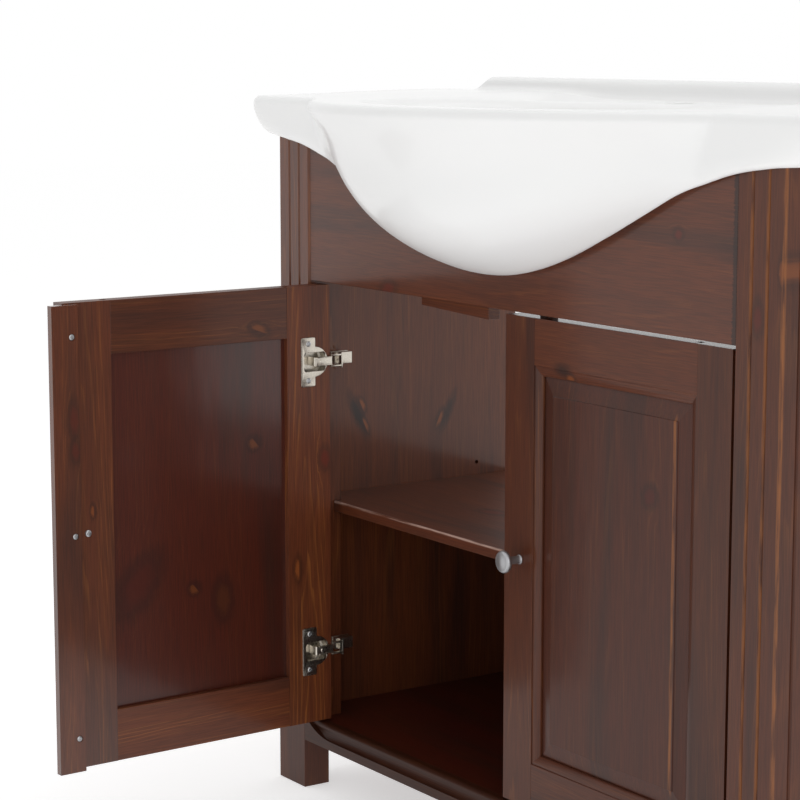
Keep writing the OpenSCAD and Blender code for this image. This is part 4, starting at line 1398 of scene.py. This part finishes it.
@dataclass
class CupHinges:
    """Two concealed cup hinges of one door, each in two parts that move with their bodies."""

    side: Side
    # Heights above the floor, the cup, its flange, its screws and half the link's width.
    heights: Pair = (185.0, 545.0)
    cup_r: float = 17.5
    cup_deep: float = 12.5
    cup_x: float = 22.5
    flange_x: Pair = (22.0, 42.5)
    flange_half: float = 30.0
    screw_x: float = 32.0
    screw_half: float = 22.5
    link_half: float = 5.2

    def build(self) -> None:
        """Makes the cups, links, arms, plates and screws of both hinges."""
        door = self.side.door_frame()
        sign = 1.0 if self.side is Side.LEFT else -1.0
        post = Matrix.Diagonal((sign, 1.0, 1.0, 1.0))
        side = self.side.value
        on_door = (
            (self._cups, "_cups_pressed", "_hinge_cups"),
            (self._links, "_links_bent", "_hinge_links"),
            (self._cup_screws, "_cup_screw_heads", "_cup_screws"),
        )
        on_post = (
            (self._arms, "_arms_bent", "_hinge_arms"),
            (self._plates, "_plates_pressed", "_hinge_plates"),
            (self._plate_screws, "_plate_screw_heads", "_plate_screws"),
        )
        for part, name, node in on_door:
            self._make(part, side + name, door, -DOOR_Z, side + "_door", node)
        for part, name, node in on_post:
            self._make(part, side + name, post, 0.0, "cabinet", node)
        bm = bmesh.new()
        for z in self.heights:
            self._plugs(bm, z)
        plugs = finish_mesh(bm, side + "_post_plugs", CABINET @ post)
        dress(plugs, bpy.data.materials["stained_pine_" + side + "_front_post"])
        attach(plugs, "cabinet")

    def _make(
        self,
        part: Callable[[bmesh.types.BMesh, float], None],
        name: str,
        place: Matrix,
        lift: float,
        body: str,
        node: str,
    ) -> None:
        """Makes one kind of piece at both heights.

        Args:
            part: Method that adds the piece to a mesh at a height.
            name: Name of the new object.
            place: Matrix from the piece's frame to cabinet millimetres.
            lift: Height of the frame's origin, taken off the hinge heights.
            body: Body that the piece moves with.
            node: End of the name of the CAD node that it stands for.
        """
        bm = bmesh.new()
        for z in self.heights:
            part(bm, z + lift)
        obj = finish_mesh(bm, name, CABINET @ place)
        screws = node.endswith("screws")
        dress(obj, (ZINC if screws else NICKEL).material())
        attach(obj, body)
        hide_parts(self.side.value + node)
        log.info("hinge: %s", name)

    def _cups(self, bm: bmesh.types.BMesh, z: float) -> None:
        """Adds the pressed cup whose rim lies on the stile, with a window for the link.

        Args:
            bm: Mesh in the door's frame.
            z: Height of the hinge in that frame.
        """
        x0, x1 = self.flange_x
        half, r, cx = self.flange_half, self.cup_r + 0.9, self.cup_x
        lobe = math.degrees(math.asin((x0 - cx) / r)) if abs(x0 - cx) < r else 0.0
        outer = arc((x1 - 2.5, half - 2.5), 2.5, 0, 90, 4)
        outer += arc((x0 + 2.0, half - 2.0), 2.0, 90, 180, 4)
        outer += arc((cx, 0.0), r, 90.0 - lobe, 270.0 + lobe, 24)
        outer += arc((x0 + 2.0, -half + 2.0), 2.0, 180, 270, 4)
        outer += arc((x1 - 2.5, -half + 2.5), 2.5, 270, 360, 4)
        # Opening in the rim that lets the link through to the post.
        window = arc((35.0, 8.6), 3.0, 0, 90, 5) + arc((9.5, 9.6), 2.0, 90, 180, 5)
        window += arc((9.5, -9.6), 2.0, 180, 270, 5) + arc((35.0, -8.6), 3.0, 270, 360, 5)
        place = Matrix.Translation((0.0, DOOR_T + 0.5, z)) @ TO_FRONT
        stamped(bm, [outer, window], 1.0, 0.3, place)
        walls = Matrix.Translation((cx, DOOR_T, z)) @ TO_FRONT
        r, deep = self.cup_r, self.cup_deep
        inner = [(r - 1.2, 0.05), (r - 1.2, deep - 3.0), (r - 3.5, deep - 1.0), (0.0, deep - 1.0)]
        outside = [(r, 0.05), (r, deep - 2.0), (r - 2.0, deep), (0.0, deep)]
        lathe(bm, inner, walls)
        lathe(bm, outside, walls)

    def _links(self, bm: bmesh.types.BMesh, z: float) -> None:
        """Adds the link that stands in the cup and carries the door, with its rolled ear.

        Args:
            bm: Mesh in the door's frame.
            z: Height of the hinge in that frame.
        """
        floor, top = DOOR_T - self.cup_deep + 1.0, DOOR_T + 1.0
        half, rib = self.link_half, 1.1
        outline = [(-1.5, top), (19.0, top), (20.0, top - 1.2), (20.0, floor), (24.5, floor)]
        outline += [(24.5, top + 0.4), (23.4, top + 2.0), (-1.5, top + 2.0)]
        prism(bm, [(x, y, z - half) for x, y in outline], (0.0, 0.0, 2.0 * half), 0.5)
        for low in (z - half, z + half - rib):
            block(bm, (-1.5, top + 1.6, low), (19.5, top + 2.7, low + rib), 0.3)
        rivet = Matrix.Translation((14.6, top + 2.0, z)) @ TO_BACK
        lathe(bm, [(0, -0.4), (2.4, -0.4), (2.4, 0.4), (1.9, 0.8), (0, 0.9)], rivet, 24)
        ear, long = Matrix.Translation((22.6, top + 0.2, z - half - 0.1)), 2.0 * half + 0.2
        roll = [(0.0, 0.0), (2.0, 0.0), (2.2, 0.3), (2.2, long - 0.3), (2.0, long), (0.0, long)]
        lathe(bm, roll, ear, 24)

    def _cup_screws(self, bm: bmesh.types.BMesh, z: float) -> None:
        """Adds the two screws of a cup.

        Args:
            bm: Mesh in the door's frame.
            z: Height of the hinge in that frame.
        """
        for s in (-1.0, 1.0):
            place = Matrix.Translation((self.screw_x, DOOR_T + 1.0, z + s * self.screw_half))
            screw_head(bm, place @ TO_BACK, 3.4, 1.4)

    def _arms(self, bm: bmesh.types.BMesh, z: float) -> None:
        """Adds the arm from the mounting plate to the link, folded from sheet, with its collar.

        Args:
            bm: Mesh in the cabinet's frame.
            z: Height of the hinge in that frame.
        """
        ax, ay = -AXIS[0], AXIS[1]
        for low in (z - 7.6, z + 5.6):
            block(bm, (ax + 14.0, ay + 4.0, low), (ax + 18.6, ay + 19.4, low + 2.0), 0.4)
        outline = [(16.0, 19.0), (18.0, 19.0), (18.0, 21.0), (3.0, 26.4), (3.0, 44.0), (-5.4, 44.0)]
        outline += [(-5.4, 20.0), (1.2, 20.0), (1.2, 24.0)]
        prism(bm, [(ax + a, ay + b, z - 7.0) for a, b in outline], (0.0, 0.0, 14.0), 0.4)
        block(bm, (ax + 13.5, ay + 18.4, z - 9.4), (ax + 18.6, ay + 20.4, z + 9.4), 0.5)

    def _plates(self, bm: bmesh.types.BMesh, z: float) -> None:
        """Mounting plate on the post."""
        block(bm, (-384.0, AXIS[1] + 20.0, z - 7.4), (-381.0, AXIS[1] + 44.4, z + 7.4), 0.6)

    def _plugs(self, bm: bmesh.types.BMesh, z: float) -> None:
        """Adds the pine plugs in the post's spare holes, above and below a mounting plate.

        Args:
            bm: Mesh in the cabinet's frame.
            z: Height of the hinge in that frame.
        """
        for s in (-1.0, 1.0):
            place = Matrix.Translation((-385.0, AXIS[1] + 27.5, z + s * 12.5))
            profile = [(0, 0), (2.6, 0), (2.6, 1.02), (2.3, 1.12), (0, 1.15)]
            lathe(bm, profile, place @ TO_MIDDLE, 24)

    def _plate_screws(self, bm: bmesh.types.BMesh, z: float) -> None:
        """Adds the two screws of a mounting plate.

        Args:
            bm: Mesh in the cabinet's frame.
            z: Height of the hinge in that frame.
        """
        for s in (-1.0, 1.0):
            place = Matrix.Translation((-381.0, AXIS[1] + 34.0 + s * 5.5, z))
            screw_head(bm, place @ TO_MIDDLE, 3.4, 1.4)


@dataclass(frozen=True)
class Lamp:
    """Square soft box: places in metres in the row frame, side in metres, power in watts."""

    name: str
    at: Triple
    to: Triple
    size: float
    watts: float


@dataclass
class Studio:
    """Pale floor, soft daylight and the camera at the photograph's place."""

    # Camera fitted to the photograph's edges, then the grey of the sky and the floor's glow, for
    # the light and as seen.
    camera_at: Triple = (2087.96, -1537.49, 931.57)
    camera_turn: Triple = (81.45, 0.0, 55.938)
    lens_mm: float = 107.867
    ambient: float = 0.61
    bounce: float = 0.6
    seen_floor: float = 0.5
    floor_white: str = "#E9E9E9"
    lamps: tuple[Lamp, ...] = (
        Lamp("key", (3.4, -1.7, 1.5), (0.0, 0.0, 0.45), 1.6, 13.0),
        Lamp("fill", (-2.4, -3.6, 2.6), (0.0, 0.0, 0.5), 2.6, 5.0),
        Lamp("overhead", (0.0, 0.4, 2.7), (0.0, 0.2, 0.86), 1.8, 16.0),
    )

    def build(self) -> None:
        """Makes the world, the floor, the lamps and the camera."""
        self._world()
        self._floor()
        for lamp in self.lamps:
            self._lamp(lamp)
        self._camera()

    def _camera(self) -> None:
        """Camera where the photograph was taken from."""
        data = bpy.data.cameras.new("camera")
        data.lens = self.lens_mm
        data.sensor_width = 36.0
        data.clip_start, data.clip_end = 0.05, 50.0
        camera = bpy.data.objects.new("camera", data)
        bpy.context.scene.collection.objects.link(camera)
        camera.location = CABINET @ Vector(self.camera_at)
        camera.rotation_euler = [math.radians(a) for a in self.camera_turn]
        bpy.context.scene.camera = camera
        bpy.context.scene.view_settings.view_transform = "Standard"

    def _seen_white(self, g: Graph) -> Socket:
        """Tells the rays that show the background from those that light the object.

        Args:
            g: Graph to add to.

        Returns:
            1 for camera, glossy and transmission rays, 0 for the others.
        """
        rays = g.add("LightPath").node.outputs
        seen = {0: rays["Is Camera Ray"], 1: rays["Is Glossy Ray"]}
        either = g.add("Math", seen, operation="MAXIMUM")
        return g.add("Math", {0: either, 1: rays["Is Transmission Ray"]}, operation="MAXIMUM")

    def _world(self) -> None:
        """White for the rays that see it, and a plain grey sky for the light."""
        world = bpy.data.worlds.new("studio")
        world.use_nodes = True
        bpy.context.scene.world = world
        g = Graph(world.node_tree)
        seen = self._seen_white(g)
        strength = g.add("MapRange", {0: seen, 1: 0.0, 2: 1.0, 3: self.ambient, 4: 1.0})
        sky = g.add("Background", {"Color": (1.0, 1.0, 1.0, 1.0), "Strength": strength})
        g.add("OutputWorld", {"Surface": sky})

    def _floor(self) -> None:
        """Wide pale floor that keeps the object's shadow."""
        bm = bmesh.new()
        bmesh.ops.create_grid(bm, x_segments=8, y_segments=8, size=14000.0)
        floor = finish_mesh(bm, "floor", Matrix.Scale(MM, 4))
        floor.location.z = -0.0005
        material, g = new_material("studio_floor")
        seen = self._seen_white(g)
        lift = g.add("MapRange", {0: seen, 1: 0.0, 2: 1.0, 3: self.bounce, 4: self.seen_floor})
        paint = g.add("BsdfDiffuse", {"Color": linear(self.floor_white)})
        glow = g.add("Emission", {"Strength": lift})
        both = g.add("AddShader", {0: paint, 1: glow})
        g.add("OutputMaterial", {"Surface": both})
        dress(floor, material)

    def _lamp(self, lamp: Lamp) -> None:
        """Adds one soft box.

        Args:
            lamp: Its place, size and power.
        """
        data = bpy.data.lights.new(lamp.name, "AREA")
        data.size, data.energy = lamp.size, lamp.watts
        box = bpy.data.objects.new(lamp.name, data)
        bpy.context.scene.collection.objects.link(box)
        box.location = lamp.at
        box.rotation_euler = (Vector(lamp.to) - Vector(lamp.at)).to_track_quat("-Z", "Y").to_euler()


def dress_pins() -> None:
    """Gives the shelf pins their plating."""
    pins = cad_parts["shelf_pins"]
    dress(pins, ZINC.material())
    log.info("metal: shelf_pins")


def main() -> None:
    """Builds the studio and every sub-assembly in order."""
    logging.basicConfig(level=logging.INFO, format="%(message)s")
    Studio().build()
    Washbasin().build()
    Cabinet().build()
    for side in Side:
        Door(side).build()
        CupHinges(side).build()
    dress_pins()


if __name__ == "__main__":
    main()
